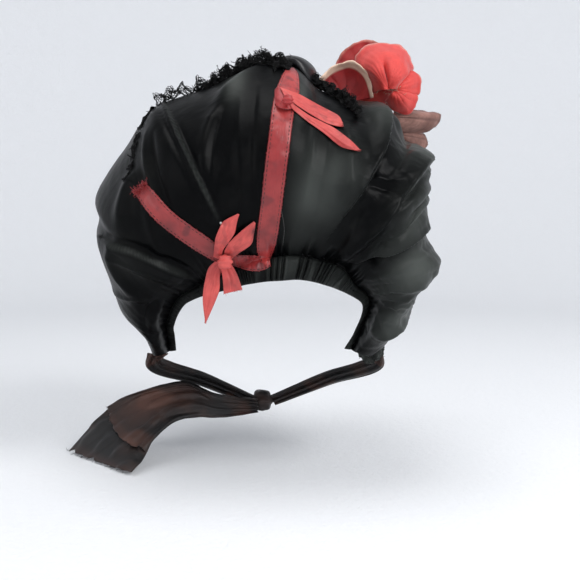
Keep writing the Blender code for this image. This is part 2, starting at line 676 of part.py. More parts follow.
def build_bow(name, under, knot, parts, satin):
    """Flat loops and tails about a small knot."""
    middle = crown_place(knot.across, knot.up)
    pieces = []
    for part, rows in parts.items():
        line = [(middle + Vector((row.across, 0, row.up)) * BOW_REACH, row.width) for row in rows]
        pieces.append(add_strip(name + "_" + part, under + pieces, line, RIBBON_WIDTH, satin, 7, 2,
                                RIBBON_WALL, "tail" in part and name == "bow_lower"))
    size = KNOT_SIZE * knot.width
    pieces.append(add_knot(name + "_knot", under + pieces, middle, size, satin))
    return pieces


def direction(turn, tilt):
    """Unit vector at angles in degrees, turn from +X towards +Y and tilt up from level."""
    turn, tilt = math.radians(turn), math.radians(tilt)
    return Vector((math.cos(turn) * math.cos(tilt), math.sin(turn) * math.cos(tilt),
                   math.sin(tilt)))


def build_rose(under, silk, leaf_cloth):
    """Silk rose seated on two leaves that lie on the brim."""
    root = Vector((ROSE_ACROSS, ROSE_FORWARD, 2 * CREST_ABOVE_HEAD))
    down = Vector((0, 0, -1))
    leaves = []
    for name, turn, droop, share in (("leaf_lower", -34, 0.42, 0.8), ("leaf_upper", -8, 0.10, 1.0)):
        tree = surface_tree(under + leaves)
        seat = tree.ray_cast(root, down)[0] + down * LEAF_SINK
        out = Vector((math.cos(math.radians(turn)), math.sin(math.radians(turn)), 0))
        side = Vector((-out.y, out.x, 0))
        grid = []
        for i in range(8):
            along = i / 7
            half = LEAF_WIDTH / 2 * share * max(0.22, math.sin(math.pi * (0.10 + 0.84 * along)))
            row = []
            for j in (-1, -0.5, 0, 0.5, 1):
                rise = 0.10 * math.sin(math.pi * along) - droop * along * along + 0.10 * j * j
                row.append(seat + out * LEAF_LENGTH * share * along + side * half * j
                           + Vector((0, 0, LEAF_LENGTH * share * rise * min(1, 3 * along))))
            grid.append(row)
        settle(tree, grid, [[-down] * 5] * 8, 0.0)
        leaves.append(add_sheet(name, grid, PETAL_WALL, leaf_cloth, lambda p: -down))
    bottom = petal_radius(LAYERS, 0) + PETAL_WALL
    middle = seat_round(surface_tree(under + leaves), root, down, bottom + ROSE_FLARE / 2, bottom)
    for petal in PETALS:
        add_petal(petal, middle, silk)
    add_ball("rose_heart", middle, petal_radius(0, 0) + PETAL_GAP / 4, 16, silk)
    return leaves


def petal_radius(layer, share):
    """Inner radius of a petal at a share of the way up from the roots to the rose's top."""
    step = PETAL_WALL + PETAL_GAP
    heart = ROSE_RADIUS - PETAL_WALL - LAYERS * step - ROSE_FLARE
    return heart + step * layer + ROSE_FLARE * layer / LAYERS * share


def add_petal(petal, middle, silk):
    """Cupped petal, rooted low and opening outwards towards a round lip."""
    grid = []
    for i in range(8):
        side = 2 * i / 7 - 1
        row = []
        for j in range(7):
            share = j / 6
            spread = 0.45 + 0.55 * math.sin(math.pi * min(1, 0.75 * share + 0.12))
            lip = 1 - 0.22 * side * side * share
            tilt = ROOT_TILT + (petal.top - ROOT_TILT) * share * lip
            ray = direction(petal.turn + petal.half_width * side * spread, tilt)
            rise = (tilt - ROOT_TILT) / (90 - ROOT_TILT)
            row.append(middle + ray * petal_radius(petal.layer, rise))
        grid.append(row)
    return add_sheet("petal_" + petal.name, grid, PETAL_WALL, silk,
                     lambda p: (p - middle).normalized())


def build_band(name, turn, side, knot, cloth):
    """Folded tie from one corner of the bonnet to the knot under the chin."""
    corner = rim_point(turn)
    seat = brim_point(turn, 0)
    start = Vector(((corner.x + seat.x) / 2, corner.y, corner.z - 2 * CLEARANCE))
    end = knot + Vector((side * (CHIN_KNOT_SIZE / 2 + 0.7 * TIE_WALL + CLEARANCE), 0, 0))
    places = [start.lerp(end, row.along) + Vector((side * row.out, row.forward, -row.down)) * BAND_LOOP
              for row in BAND]
    path = [Vector(place) for place in smooth_points(places, 10)]
    grid = []
    for i, point in enumerate(path):
        share = i / (len(path) - 1)
        twist = min(1.0, share / 0.35)
        across = Vector((1 - 0.48 * twist, 0, -side * 0.78 * twist)).normalized()
        half = TIE_WIDTH / 2 * (1 - 0.45 * share)
        row = []
        for k in range(4):
            place = 2 * k / 3 - 1
            cup = Vector((0, -1, 0)) * half * 0.35 * (1 - place * place) * twist
            row.append(point + across * half * place + cup)
        grid.append(row)
    add_sheet(name, grid, TIE_WALL, cloth, lambda p: Vector((0, -1, 0)))


def tail_surface(knot, share, width, lift):
    """Point of a tie tail: share of its length and of its width, raised by lift."""
    keyed = [(i / (len(TAIL) - 1), row) for i, row in enumerate(TAIL)]
    Row = namedtuple("Row", "key " + " ".join(Tail._fields))
    table = [Row(key, *row) for key, row in keyed]

    def at(s, w):
        away, forward, rise, sa, sf, sr = (smooth_value(table, name, s) for name in Tail._fields)
        middle = knot + Vector((away, forward, rise)) * TAIL_LENGTH
        sag = 0.05 * math.sin(math.pi * s) * math.sin(2 * math.pi * w)
        point = middle + Vector((sa, sf, sr)) * TAIL_WIDTH * (w - 0.5)
        return point + Vector((0, 1, 0.3)) * TAIL_WIDTH * sag

    point = at(share, width)
    along = at(min(share + 0.02, 1), width) - at(max(share - 0.02, 0), width)
    across = at(share, min(width + 0.05, 1)) - at(share, max(width - 0.05, 0))
    normal = along.cross(across).normalized()
    normal = normal if normal.y < 0 or normal.z > 0.9 else -normal
    point += normal * lift
    point.z = max(point.z, lift + CLEARANCE - TABLE_DROP)
    return point


def build_ties(cloth):
    """Bands from both corners to a knot under the chin, and the two tails on the left."""
    knot = Vector((-0.004, KNOT_FORWARD, -KNOT_DROP))
    build_band("chin_band_left", 0.0, -1, knot, cloth)
    build_band("chin_band_right", 1.0, 1, knot, cloth)
    add_ball("chin_knot", knot, CHIN_KNOT_SIZE / 2, 12, cloth)
    for name, length, lift in (("tie_tail_lower", 1.0, 0.0),
                               ("tie_tail_upper", UPPER_TAIL_SHARE, TAIL_WALL + TAIL_GAP)):
        grid = [[tail_surface(knot, i / 10, j / 4, lift) for j in range(5)]
                for i in range(round(10 * length) + 1)]
        add_sheet(name, grid, TAIL_WALL, cloth, lambda p: Vector((0, -0.7, 0.7)))


for old in list(bpy.data.objects):
    bpy.data.objects.remove(old)
BONNET = bpy.data.collections.new("poke_bonnet")
bpy.context.scene.collection.children.link(BONNET)

BLACK_SILK = new_material("black_silk", (0.012, 0.013, 0.014), 0.42, 0.3)
BLACK_LACE = new_material("black_lace", (0.008, 0.008, 0.010), 0.85)
CORAL_SATIN = new_material("coral_satin", (0.62, 0.095, 0.075), 0.48, 0.2)
ROSE_SILK = new_material("rose_silk", (0.66, 0.085, 0.065), 0.62, 0.3)
LEAF_CLOTH = new_material("leaf_cloth", (0.30, 0.15, 0.12), 0.80)
TIE_SILK = new_material("tie_silk", (0.035, 0.026, 0.024), 0.60, 0.3)

CROWN = build_crown(BLACK_SILK)
BRIM_PIECE = build_brim(BLACK_SILK)
CASING = build_casing(BLACK_SILK)
build_edging(CROWN, BRIM_PIECE, CASING, BLACK_LACE, BLACK_SILK)
RIBBONS = build_ribbons([CROWN, CASING], CORAL_SATIN)
build_bow("bow_lower", [CROWN, CASING] + RIBBONS, BOW_LOWER_KNOT, BOW_LOWER, CORAL_SATIN)
build_bow("bow_upper", [CROWN, CASING] + RIBBONS, BOW_UPPER_KNOT, BOW_UPPER, CORAL_SATIN)
build_rose([CROWN, BRIM_PIECE], ROSE_SILK, LEAF_CLOTH)
build_ties(TIE_SILK)
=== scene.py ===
"""Looks of the poke bonnet: puffed black silk, coral ribbons and bows, a silk rose, lace and ties.

Metres, +Z up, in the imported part's frame: the nape faces -Y and the brim opens towards +Y.
"""
import math
import random
from collections import namedtuple

import bpy
import numpy as np
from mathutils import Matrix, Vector, noise
from mathutils.bvhtree import BVHTree


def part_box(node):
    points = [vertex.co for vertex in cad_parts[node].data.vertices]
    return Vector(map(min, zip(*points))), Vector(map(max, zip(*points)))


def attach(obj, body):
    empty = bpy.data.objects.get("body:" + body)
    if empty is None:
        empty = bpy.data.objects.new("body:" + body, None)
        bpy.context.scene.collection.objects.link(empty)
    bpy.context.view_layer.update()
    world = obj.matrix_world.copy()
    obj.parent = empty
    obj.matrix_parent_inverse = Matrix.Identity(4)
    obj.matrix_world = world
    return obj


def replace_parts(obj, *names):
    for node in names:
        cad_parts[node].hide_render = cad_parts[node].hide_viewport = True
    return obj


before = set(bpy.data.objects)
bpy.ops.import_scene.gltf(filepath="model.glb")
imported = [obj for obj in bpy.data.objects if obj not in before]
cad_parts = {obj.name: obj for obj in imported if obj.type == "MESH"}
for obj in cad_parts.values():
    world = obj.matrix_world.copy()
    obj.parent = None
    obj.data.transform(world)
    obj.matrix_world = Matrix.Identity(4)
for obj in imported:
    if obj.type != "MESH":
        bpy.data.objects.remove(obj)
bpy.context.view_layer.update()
RANDOM = random.Random(7)

# Sizes of the part, repeated from its source
CROWN_WIDTH = 0.272
CROWN_HEIGHT = 0.240
CROWN_DEPTH = 0.120
CREST_ABOVE_HEAD = 0.055
CORNER_Z = CREST_ABOVE_HEAD - CROWN_HEIGHT
NAPE_WIDTH = 0.146
NAPE_RISE = 0.072
NAPE_REACH = 0.090
SILK_WALL = 0.0015
CLEARANCE = 0.00035
FOLD_HEIGHT = 0.0060
FOLD_WIDTH = 0.0120
CASING_HEIGHT = 0.017
CASING_THICKNESS = 0.009
BRIM_LENGTH = 0.088
BRIM_WALL = 0.0020
BRIM_TUCK = 0.007
JOIN_FORWARD = 0.013
RIBBON_WIDTH = 0.0155
BOW_REACH = 0.043
LACE_WIDTH = 0.009
LACE_RUFFLE = 0.0025
ROSE_RADIUS = 0.041
ROSE_FLARE = 0.004
PETAL_WALL = 0.0011
PETAL_GAP = 0.0008
TIE_WIDTH = 0.017
BAND_LOOP = 0.013
TAIL_LENGTH = 0.185
TAIL_WIDTH = 0.066
TAIL_LAYERS = 0.0021
CHIN_KNOT_SIZE = 0.018
KNOT_DROP = 0.228
KNOT_FORWARD = 0.046
TABLE_DROP = 0.268
ROSE_MIDDLE = (0.0841, 0.0300, 0.0439)
ROSE_HALF = 0.042
LAYERS = 5
ROOT_TILT = -80

# Threads, stitches and lace
THREAD = 0.00016
LACE_THREAD = 0.00026
STITCH = 0.00026
STITCH_LENGTH = 0.0021
STITCH_PITCH = 0.0031
LACE_CELL = 0.0019
LACE_SCALLOP = 0.0052

# Crown: shares of its run, heights of its folds, gathers and rumples, and its grids
CASING_SHARE = 0.045
FOLD_BOOST = 1.25
RIGHT_BOOST = 0.35
# Width of the painted highlight line along each lap's edge
LAP_HIGHLIGHT_WIDTH = 0.0009
GATHERS = 44
GATHER_DRIFT = 3.2
GATHER_DEPTH = 0.0015
CASING_RUCHE = 0.30
RUMPLE = 0.0002
RIGHT_RUMPLE = 0.0011
LOW_RUMPLE = 0.0011
FINE_RUMPLE = 0.00045
CRUMPLE_FRAMES = 22
CRUMPLE_CAP = 0.0016
CROWN_TURNS, CROWN_SHARES = 420, 230
SIM_TURNS, SIM_SHARES = 150, 68

# Ribbons, bows and what lies on the crown
SEAT = 0.0005
RIBBON_COLUMNS = 21
LOOP_PUFF = 0.0040
CREST_ACROSS = 0.0240
CREST_UP = 0.0455
BUNCH_MIDDLE = (0.0850, 0.0000, -0.1760)
BUNCH_HALF = (0.0085, 0.0080, 0.0095)
PIN_PLACE = (-0.198, 0.466)
PIN_RADIUS = 0.0009
LOOSE_THREADS = (((0.090, 0.545), (0.105, 0.500), (0.118, 0.450), (0.110, 0.400)),
                 ((0.020, 0.345), (0.060, 0.325), (0.110, 0.300)))
BACK_SCALE = 0.80

# The photo's frame, and the camera and stage that match it
PHOTO_SIZE = 580
PHOTO_FOCAL = 937
SENSOR = 36
CAMERA_PLACE = (0.020, -0.750, -0.063)
CAMERA_TILT = 85
FLOOR_GAP = 0.0006
FLOOR_REACH = 1.25
FLOOR_SWEEP = 0.6
FLOOR_WALL = 1.1
FLOOR_COLOUR = (0.83, 0.84, 0.86, 1)
SKY_COLOUR = (0.92, 0.95, 1.0, 1)
SKY_STRENGTH = 0.50

Outline = namedtuple("Outline", "turn across up")
Nape = namedtuple("Nape", "turn across up back casing")
Puff = namedtuple("Puff", "turn forward back")
Brim = namedtuple("Brim", "turn across up reach spread")
Fold = namedtuple("Fold", "name kind height width start middle end")
Strip = namedtuple("Strip", "across up width")
Edges = namedtuple("Edges", "left_across left_up right_across right_up")
Lobe = namedtuple("Lobe", "name near far cup roll cream ribs base outline")
Band = namedtuple("Band", "along out forward down")
Tail = namedtuple("Tail", "key away forward rise side_away side_forward side_rise")
Petal = namedtuple("Petal", "name turn half_width top layer cream ribs")
FadeAndSheen = namedtuple("FadeAndSheen", "name turn share half_turn half_share amount")
Light = namedtuple("Light", "name place size power aim")

# The crown's rim and nape, seen from behind, and how far it puffs, against its turn from the left
# corner over the crest to the right corner. Shares run from the nape to the rim.

OUTLINE = (
    Outline(0.000, -0.67, 0.02), Outline(0.032, -0.71, 0.10), Outline(0.071, -0.83, 0.18),
    Outline(0.110, -0.88, 0.27), Outline(0.142, -0.93, 0.36), Outline(0.170, -0.96, 0.44),
    Outline(0.195, -0.94, 0.50), Outline(0.212, -0.96, 0.55), Outline(0.239, -0.90, 0.62),
    Outline(0.286, -0.77, 0.72), Outline(0.318, -0.70, 0.78), Outline(0.349, -0.60, 0.84),
    Outline(0.381, -0.46, 0.87), Outline(0.416, -0.29, 0.90), Outline(0.447, -0.16, 0.94),
    Outline(0.484, 0.01, 0.97), Outline(0.519, 0.17, 0.96), Outline(0.557, 0.31, 0.89),
    Outline(0.587, 0.445, 0.865), Outline(0.619, 0.575, 0.85), Outline(0.643, 0.69, 0.84),
    Outline(0.668, 0.755, 0.78), Outline(0.687, 0.79, 0.725), Outline(0.709, 0.865, 0.70),
    Outline(0.729, 0.935, 0.66), Outline(0.753, 0.90, 0.61), Outline(0.793, 0.90, 0.52),
    Outline(0.831, 0.92, 0.42), Outline(0.854, 0.95, 0.36), Outline(0.877, 0.93, 0.30),
    Outline(0.912, 0.85, 0.22), Outline(0.935, 0.80, 0.165), Outline(0.972, 0.74, 0.08),
    Outline(1.000, 0.67, 0.02),
)
NAPE = (
    Nape(0.00, -0.99, 0.10, -0.02, 0.30), Nape(0.05, -0.97, 0.32, 0.22, 0.35),
    Nape(0.09, -0.95, 0.44, 0.39, 0.38), Nape(0.18, -0.81, 0.69, 0.62, 0.42),
    Nape(0.25, -0.61, 0.80, 0.78, 0.50), Nape(0.39, -0.21, 0.93, 0.95, 0.75),
    Nape(0.49, 0.05, 0.98, 1.00, 1.00), Nape(0.61, 0.37, 1.00, 0.98, 1.00),
    Nape(0.71, 0.66, 0.92, 0.84, 0.95), Nape(0.78, 0.85, 0.82, 0.68, 0.55),
    Nape(0.85, 1.03, 0.67, 0.46, 0.40), Nape(0.93, 0.98, 0.36, 0.17, 0.34),
    Nape(1.00, 0.88, 0.12, -0.02, 0.30),
)
PUFF = (
    Puff(0.00, 0.06, 0.14), Puff(0.03, 0.06, 0.34), Puff(0.07, 0.06, 0.48),
    Puff(0.11, 0.05, 0.60), Puff(0.17, 0.04, 0.74), Puff(0.24, 0.03, 0.86),
    Puff(0.35, 0.01, 0.96), Puff(0.48, -0.01, 1.00), Puff(0.62, -0.01, 0.96),
    Puff(0.73, 0.01, 0.86), Puff(0.83, 0.04, 0.72), Puff(0.90, 0.05, 0.56),
    Puff(0.95, 0.06, 0.40), Puff(1.00, 0.06, 0.14),
)
BRIM = (
    Brim(0.00, -0.62, 0.03, 0.10, 1.00), Brim(0.09, -0.76, 0.19, 0.34, 1.00),
    Brim(0.18, -0.87, 0.42, 0.66, 1.01), Brim(0.27, -0.81, 0.63, 0.86, 1.03),
    Brim(0.36, -0.52, 0.80, 0.96, 1.05), Brim(0.49, 0.02, 0.88, 1.00, 1.06),
    Brim(0.62, 0.50, 0.82, 0.96, 1.05), Brim(0.71, 0.76, 0.67, 0.88, 1.03),
    Brim(0.80, 0.86, 0.46, 0.70, 1.01), Brim(0.90, 0.76, 0.20, 0.36, 1.00),
    Brim(1.00, 0.61, 0.03, 0.10, 1.00),
)

# The part's main folds, then finer creases that only the looks have
FOLDS = (
    Fold("left pleat", "lap", 0.80, 1.4, (0.360, 0.88), (0.373, 0.54), (0.393, 0.21)),
    Fold("soft crease", "crest", 0.45, 0.8, (0.423, 0.62), (0.405, 0.53), (0.387, 0.38)),
    Fold("upper puff", "crest", 0.85, 1.5, (0.425, 0.63), (0.460, 0.74), (0.490, 0.82)),
    Fold("cheek crest", "lap", 0.80, 1.3, (0.185, 0.62), (0.225, 0.30), (0.277, 0.04)),
    Fold("cheek edge", "crest", 0.60, 0.9, (0.200, 0.48), (0.155, 0.42), (0.140, 0.24)),
    Fold("side puff", "crest", 0.70, 1.2, (0.220, 0.44), (0.260, 0.54), (0.290, 0.56)),
    Fold("side crease", "crest", 0.50, 0.8, (0.285, 0.46), (0.267, 0.34), (0.245, 0.22)),
    Fold("jaw strip", "crest", 0.50, 0.9, (0.155, 0.10), (0.090, 0.18), (0.020, 0.22)),
    Fold("middle crest", "crest", 0.70, 0.9, (0.600, 0.60), (0.620, 0.42), (0.634, 0.28)),
    Fold("right crest", "lap", 0.90, 1.2, (0.635, 0.84), (0.658, 0.52), (0.647, 0.22)),
    Fold("right hollow", "dip", 0.60, 1.2, (0.618, 0.72), (0.638, 0.54), (0.644, 0.38)),
    Fold("top puff", "crest", 0.60, 1.3, (0.690, 0.97), (0.672, 0.86), (0.658, 0.76)),
    Fold("pointed fold", "lap", 1.10, 1.2, (0.732, 0.98), (0.722, 0.66), (0.718, 0.44)),
    Fold("long crest", "crest", 0.90, 0.9, (0.762, 0.96), (0.728, 0.45), (0.685, 0.05)),
    Fold("long hollow", "dip", 0.80, 0.8, (0.762, 0.84), (0.740, 0.42), (0.704, 0.10)),
    Fold("low crest", "crest", 0.80, 0.8, (0.778, 0.84), (0.750, 0.44), (0.735, 0.18)),
    Fold("slit", "dip", 0.90, 0.7, (0.742, 0.32), (0.752, 0.22), (0.762, 0.14)),
    Fold("panel edge", "lap", 1.00, 1.1, (0.802, 0.82), (0.790, 0.40), (0.713, 0.06)),
    Fold("panel swell", "crest", 0.80, 1.5, (0.855, 0.90), (0.852, 0.55), (0.840, 0.25)),
    Fold("lower bulge", "crest", 0.60, 1.0, (0.925, 0.92), (0.942, 0.60), (0.955, 0.34)),
    Fold("nape crease", "crest", 0.40, 0.6, (0.677, 0.27), (0.680, 0.16), (0.684, 0.07)),
)
CREASES = (
    Fold("pleat valley", "dip", 0.30, 0.35, (0.352, 0.86), (0.364, 0.54), (0.384, 0.22)),
    Fold("soft valley", "dip", 0.22, 0.40, (0.432, 0.60), (0.414, 0.50), (0.398, 0.36)),
    Fold("centre streak", "crest", 0.16, 0.45, (0.455, 0.62), (0.448, 0.40), (0.440, 0.16)),
    Fold("centre groove", "dip", 0.14, 0.35, (0.475, 0.66), (0.468, 0.42), (0.458, 0.14)),
    Fold("panel streak", "crest", 0.20, 0.45, (0.545, 0.76), (0.560, 0.50), (0.566, 0.22)),
    Fold("panel groove", "dip", 0.16, 0.40, (0.570, 0.70), (0.584, 0.46), (0.590, 0.20)),
    Fold("cross crease", "crest", 0.22, 0.35, (0.665, 0.42), (0.680, 0.47), (0.700, 0.50)),
    Fold("cross shade", "dip", 0.26, 0.35, (0.662, 0.38), (0.680, 0.43), (0.704, 0.46)),
    Fold("long shade", "dip", 0.30, 0.35, (0.752, 0.90), (0.716, 0.42), (0.678, 0.10)),
    Fold("low shade", "dip", 0.30, 0.35, (0.786, 0.78), (0.760, 0.42), (0.744, 0.22)),
    Fold("panel crease a", "crest", 0.20, 0.35, (0.835, 0.78), (0.828, 0.50), (0.800, 0.16)),
    Fold("panel crease b", "crest", 0.18, 0.30, (0.880, 0.86), (0.868, 0.55), (0.836, 0.20)),
    Fold("panel crease c", "dip", 0.20, 0.30, (0.858, 0.70), (0.846, 0.44), (0.815, 0.14)),
    Fold("panel crease d", "crest", 0.16, 0.30, (0.905, 0.78), (0.896, 0.50), (0.880, 0.24)),
    Fold("cheek valley", "dip", 0.30, 0.35, (0.196, 0.58), (0.236, 0.30), (0.284, 0.08)),
    Fold("cheek crease", "crest", 0.20, 0.30, (0.178, 0.50), (0.204, 0.26), (0.240, 0.06)),
    Fold("jaw groove", "dip", 0.25, 0.30, (0.150, 0.16), (0.090, 0.26), (0.025, 0.30)),
    Fold("temple crease", "crest", 0.25, 0.40, (0.330, 0.66), (0.312, 0.52), (0.305, 0.36)),
    Fold("temple groove", "dip", 0.22, 0.35, (0.342, 0.62), (0.326, 0.46), (0.318, 0.30)),
    Fold("ear crease", "crest", 0.25, 0.35, (0.110, 0.70), (0.118, 0.46), (0.150, 0.20)),
)

# Where the silk is faded and dusty, and where its satin sheen is painted in, as soft patches on the
# crown
FADED_AND_SHEEN = (
    # Each patch is partly faded silk and partly painted sheen, lighter where the satin catches the
    # light; the puff under the crest is a painted highlight
    FadeAndSheen("puff under the crest", 0.450, 0.75, 0.013, 0.11, 1.30),
    FadeAndSheen("streak beside the ribbon", 0.534, 0.66, 0.009, 0.14, 1.10),
    FadeAndSheen("smooth panel", 0.580, 0.28, 0.048, 0.19, 1.00),
    FadeAndSheen("puff over the panel", 0.640, 0.72, 0.016, 0.12, 0.65),
    FadeAndSheen("pointed fold", 0.705, 0.80, 0.034, 0.16, 1.00),
    FadeAndSheen("long folds", 0.765, 0.56, 0.040, 0.30, 0.65),
    FadeAndSheen("side panel", 0.835, 0.50, 0.045, 0.32, 0.80),
    FadeAndSheen("lower bulge", 0.920, 0.50, 0.050, 0.34, 0.80),
    FadeAndSheen("temple", 0.300, 0.55, 0.030, 0.16, 0.06),
    FadeAndSheen("cheek", 0.200, 0.40, 0.040, 0.20, 0.08),
)

# Ribbons along their middle lines, and bows between their two edges in reaches from the knot
RIBBON_VERTICAL = (
    Strip(0.165, 0.938, 0.08), Strip(0.155, 0.915, 0.60), Strip(0.137, 0.850, 1.00),
    Strip(0.114, 0.791, 0.96), Strip(0.095, 0.698, 0.93), Strip(0.076, 0.614, 0.92),
    Strip(0.055, 0.517, 0.90), Strip(0.030, 0.423, 0.88), Strip(0.018, 0.375, 0.62),
    Strip(0.016, 0.345, 0.14),
)
RIBBON_DIAGONAL = (
    Strip(-0.604, 0.562, 0.67), Strip(-0.554, 0.531, 0.78), Strip(-0.477, 0.483, 0.80),
    Strip(-0.369, 0.435, 0.80), Strip(-0.283, 0.400, 0.80), Strip(-0.205, 0.368, 0.70),
)
RIBBON_TURN = (
    Strip(0.044, 0.351, 0.30), Strip(0.002, 0.347, 0.62), Strip(-0.060, 0.348, 0.70),
    Strip(-0.120, 0.353, 0.56), Strip(-0.165, 0.355, 0.40),
)
BOW_LOWER = {
    "loop_left": (Edges(-0.19, 0.08, -0.06, 0.02), Edges(-0.16, 0.24, -0.03, 0.18),
                  Edges(-0.13, 0.39, 0.07, 0.32), Edges(-0.06, 0.55, 0.17, 0.47),
                  Edges(0.01, 0.66, 0.21, 0.64), Edges(0.22, 0.77, 0.25, 0.76)),
    "loop_right": (Edges(-0.06, 0.03, 0.07, 0.02), Edges(0.05, 0.28, 0.24, 0.15),
                   Edges(0.24, 0.47, 0.42, 0.28), Edges(0.35, 0.56, 0.47, 0.45),
                   Edges(0.47, 0.65, 0.50, 0.62)),
    "tail_left": (Edges(-0.17, 0.00, -0.04, -0.05), Edges(-0.28, -0.11, -0.10, -0.24),
                  Edges(-0.34, -0.31, -0.11, -0.46), Edges(-0.38, -0.61, -0.17, -0.64),
                  Edges(-0.345, -0.99, -0.33, -1.00)),
    "tail_right": (Edges(-0.10, -0.09, 0.05, -0.01), Edges(-0.07, -0.20, 0.12, -0.10),
                   Edges(-0.05, -0.36, 0.20, -0.26), Edges(-0.04, -0.54, 0.27, -0.46)),
}
BOW_LOWER_KNOT = Strip(-0.183, 0.354, 0.85)
BOW_UPPER = {
    "loop": (Edges(0.07, 0.05, 0.11, -0.11), Edges(-0.05, 0.16, 0.00, -0.14),
             Edges(-0.16, 0.24, -0.14, -0.11), Edges(-0.21, 0.20, -0.20, -0.05)),
    "tail_upper": (Edges(-0.13, 0.25, -0.04, 0.05), Edges(0.20, 0.14, 0.24, -0.12),
                   Edges(0.44, 0.02, 0.44, -0.24), Edges(0.68, -0.10, 0.64, -0.34),
                   Edges(0.83, -0.20, 0.80, -0.39), Edges(0.88, -0.32, 0.86, -0.40)),
    "tail_lower": (Edges(0.00, 0.01, 0.07, -0.13), Edges(0.35, -0.22, 0.31, -0.32),
                   Edges(0.56, -0.32, 0.45, -0.42), Edges(0.76, -0.43, 0.60, -0.53),
                   Edges(1.02, -0.67, 0.84, -0.74), Edges(1.13, -0.78, 1.06, -0.80)),
}
BOW_UPPER_KNOT = Strip(0.136, 0.811, 0.80)

# Lace and the crest's loop, as turns and shares on the crown
LACE_ROUTE = ((0.350, 0.87), (0.372, 0.89), (0.400, 0.89), (0.430, 0.86), (0.460, 0.82),
              (0.490, 0.79), (0.512, 0.78))
LACE_BAND = ((0.273, 0.56), (0.303, 0.66), (0.335, 0.76), (0.362, 0.84))
LACE_DROP = ((0.512, 0.93), (0.505, 0.86), (0.500, 0.79), (0.498, 0.73))
CLUMP_ROUTE = ((0.536, 0.95), (0.556, 0.90), (0.575, 0.82), (0.592, 0.74), (0.614, 0.65))
CREST_EDGES = (Edges(-0.58, 0.30, -0.50, -0.06), Edges(-0.16, 0.42, -0.10, 0.02),
               Edges(0.26, 0.34, 0.06, -0.14), Edges(0.58, 0.10, 0.26, -0.44),
               Edges(0.70, -0.20, 0.42, -0.62), Edges(0.72, -0.66, 0.56, -0.74))
CREST_REACH = 0.026

# The rose's petals in view, its leaves and its hidden petals, in shares of its half width
LOBES = (
    Lobe("crest", 0.030, 0.040, -0.004, 0.002, 0.25, 5, (-0.04, -0.25),
         ((-0.66, 0.06), (-0.65, 0.20), (-0.57, 0.38), (-0.42, 0.58), (-0.22, 0.71), (0.00, 0.755),
          (0.18, 0.70), (0.36, 0.60))),
    Lobe("big", 0.004, 0.030, 0.009, 0.001, 0.22, 17, (0.33, -0.32),
         ((0.03, -0.36), (-0.06, -0.08), (-0.16, 0.12), (-0.26, 0.30), (-0.20, 0.47),
          (-0.03, 0.60), (0.18, 0.655), (0.50, 0.63), (0.69, 0.53), (0.83, 0.33), (0.86, 0.12),
          (0.72, -0.12), (0.58, -0.30))),
    Lobe("left", 0.014, 0.016, -0.009, 0.005, 1.0, 5, (-0.44, -0.50),
         ((-1.00, -0.25), (-0.97, -0.12), (-0.88, 0.00), (-0.74, 0.12), (-0.57, 0.21),
          (-0.38, 0.25), (-0.20, 0.18), (-0.06, 0.02), (0.02, -0.20), (0.06, -0.45))),
    Lobe("right", 0.010, 0.024, 0.005, 0.002, 0.15, 5, (0.44, -0.32),
         ((0.60, -0.12), (0.74, 0.05), (0.87, 0.08), (1.00, -0.05), (0.99, -0.22), (0.93, -0.38),
          (0.65, -0.45))),
    Lobe("low", 0.008, 0.020, 0.005, 0.0015, 0.12, 6, (0.44, -0.34),
         ((0.62, -0.40), (0.90, -0.38), (0.90, -0.56), (0.80, -0.73), (0.60, -0.73), (0.42, -0.64),
          (0.30, -0.50))),
)
LEAVES = (
    Lobe("leaf_lower", 0.026, 0.034, 0.002, 0.0, 0.0, 0, (0.50, -1.12),
         ((0.60, -1.06), (0.78, -1.04), (0.96, -1.05), (1.11, -1.08), (1.18, -1.20), (1.16, -1.36),
          (1.02, -1.40), (0.84, -1.34), (0.62, -1.28))),
    Lobe("leaf_upper", 0.020, 0.030, 0.003, 0.0, 0.0, 0, (0.45, -0.80),
         ((0.50, -0.66), (0.81, -0.64), (1.09, -0.655), (1.34, -0.69), (1.45, -0.77),
          (1.36, -0.94), (1.17, -1.05), (0.92, -1.11), (0.68, -1.13), (0.50, -1.02))),
)
BACK_PETALS = (
    Petal("inner_far", 40, 85, 82, 1, 0.2, 0), Petal("inner_near", -140, 98, 80, 2, 0.5, 3),
    Petal("far_right", 50, 50, 55, 2, 0.2, 0), Petal("far_left", 140, 52, 50, 4, 0.3, 0),
)

# Chin bands in loop sizes, and tie tails in tail lengths and widths
BAND = (
    Band(0.00, 0.0, 0.0, 0.00), Band(0.08, 0.7, 0.2, 0.40), Band(0.25, 0.9, 0.5, 0.35),
    Band(0.50, 0.7, 0.9, 0.15), Band(0.75, 0.3, 0.6, 0.10), Band(1.00, 0.0, 0.0, 0.00),
)
TAIL = (
    Tail(0 / 6, -0.030, -0.044, -0.014, 0.01, -0.02, -0.17),
    Tail(1 / 6, -0.20, -0.140, 0.01, 0.05, -0.06, -0.28),
    Tail(2 / 6, -0.31, -0.150, 0.04, 0.18, -0.15, -0.42),
    Tail(3 / 6, -0.45, -0.160, 0.01, 0.42, -0.33, -0.35),
    Tail(4 / 6, -0.55, -0.190, -0.05, 0.51, -0.58, -0.38),
    Tail(5 / 6, -0.62, -0.250, -0.12, 0.68, -0.80, -0.33),
    Tail(6 / 6, -0.70, -0.310, -0.21, 0.98, -1.05, -0.01),
)
UPPER_TAIL_SHARE = 0.80

LIGHTS = (
    Light("key", (1.0, -0.9, 0.9), 0.7, 17, (0, 0, -0.05)),
    Light("left_fill", (-1.2, -1.0, 0.5), 0.9, 4, (0, 0, -0.08)),
    Light("top", (-0.1, -0.2, 1.5), 0.9, 10, (0, 0, 0)),
)


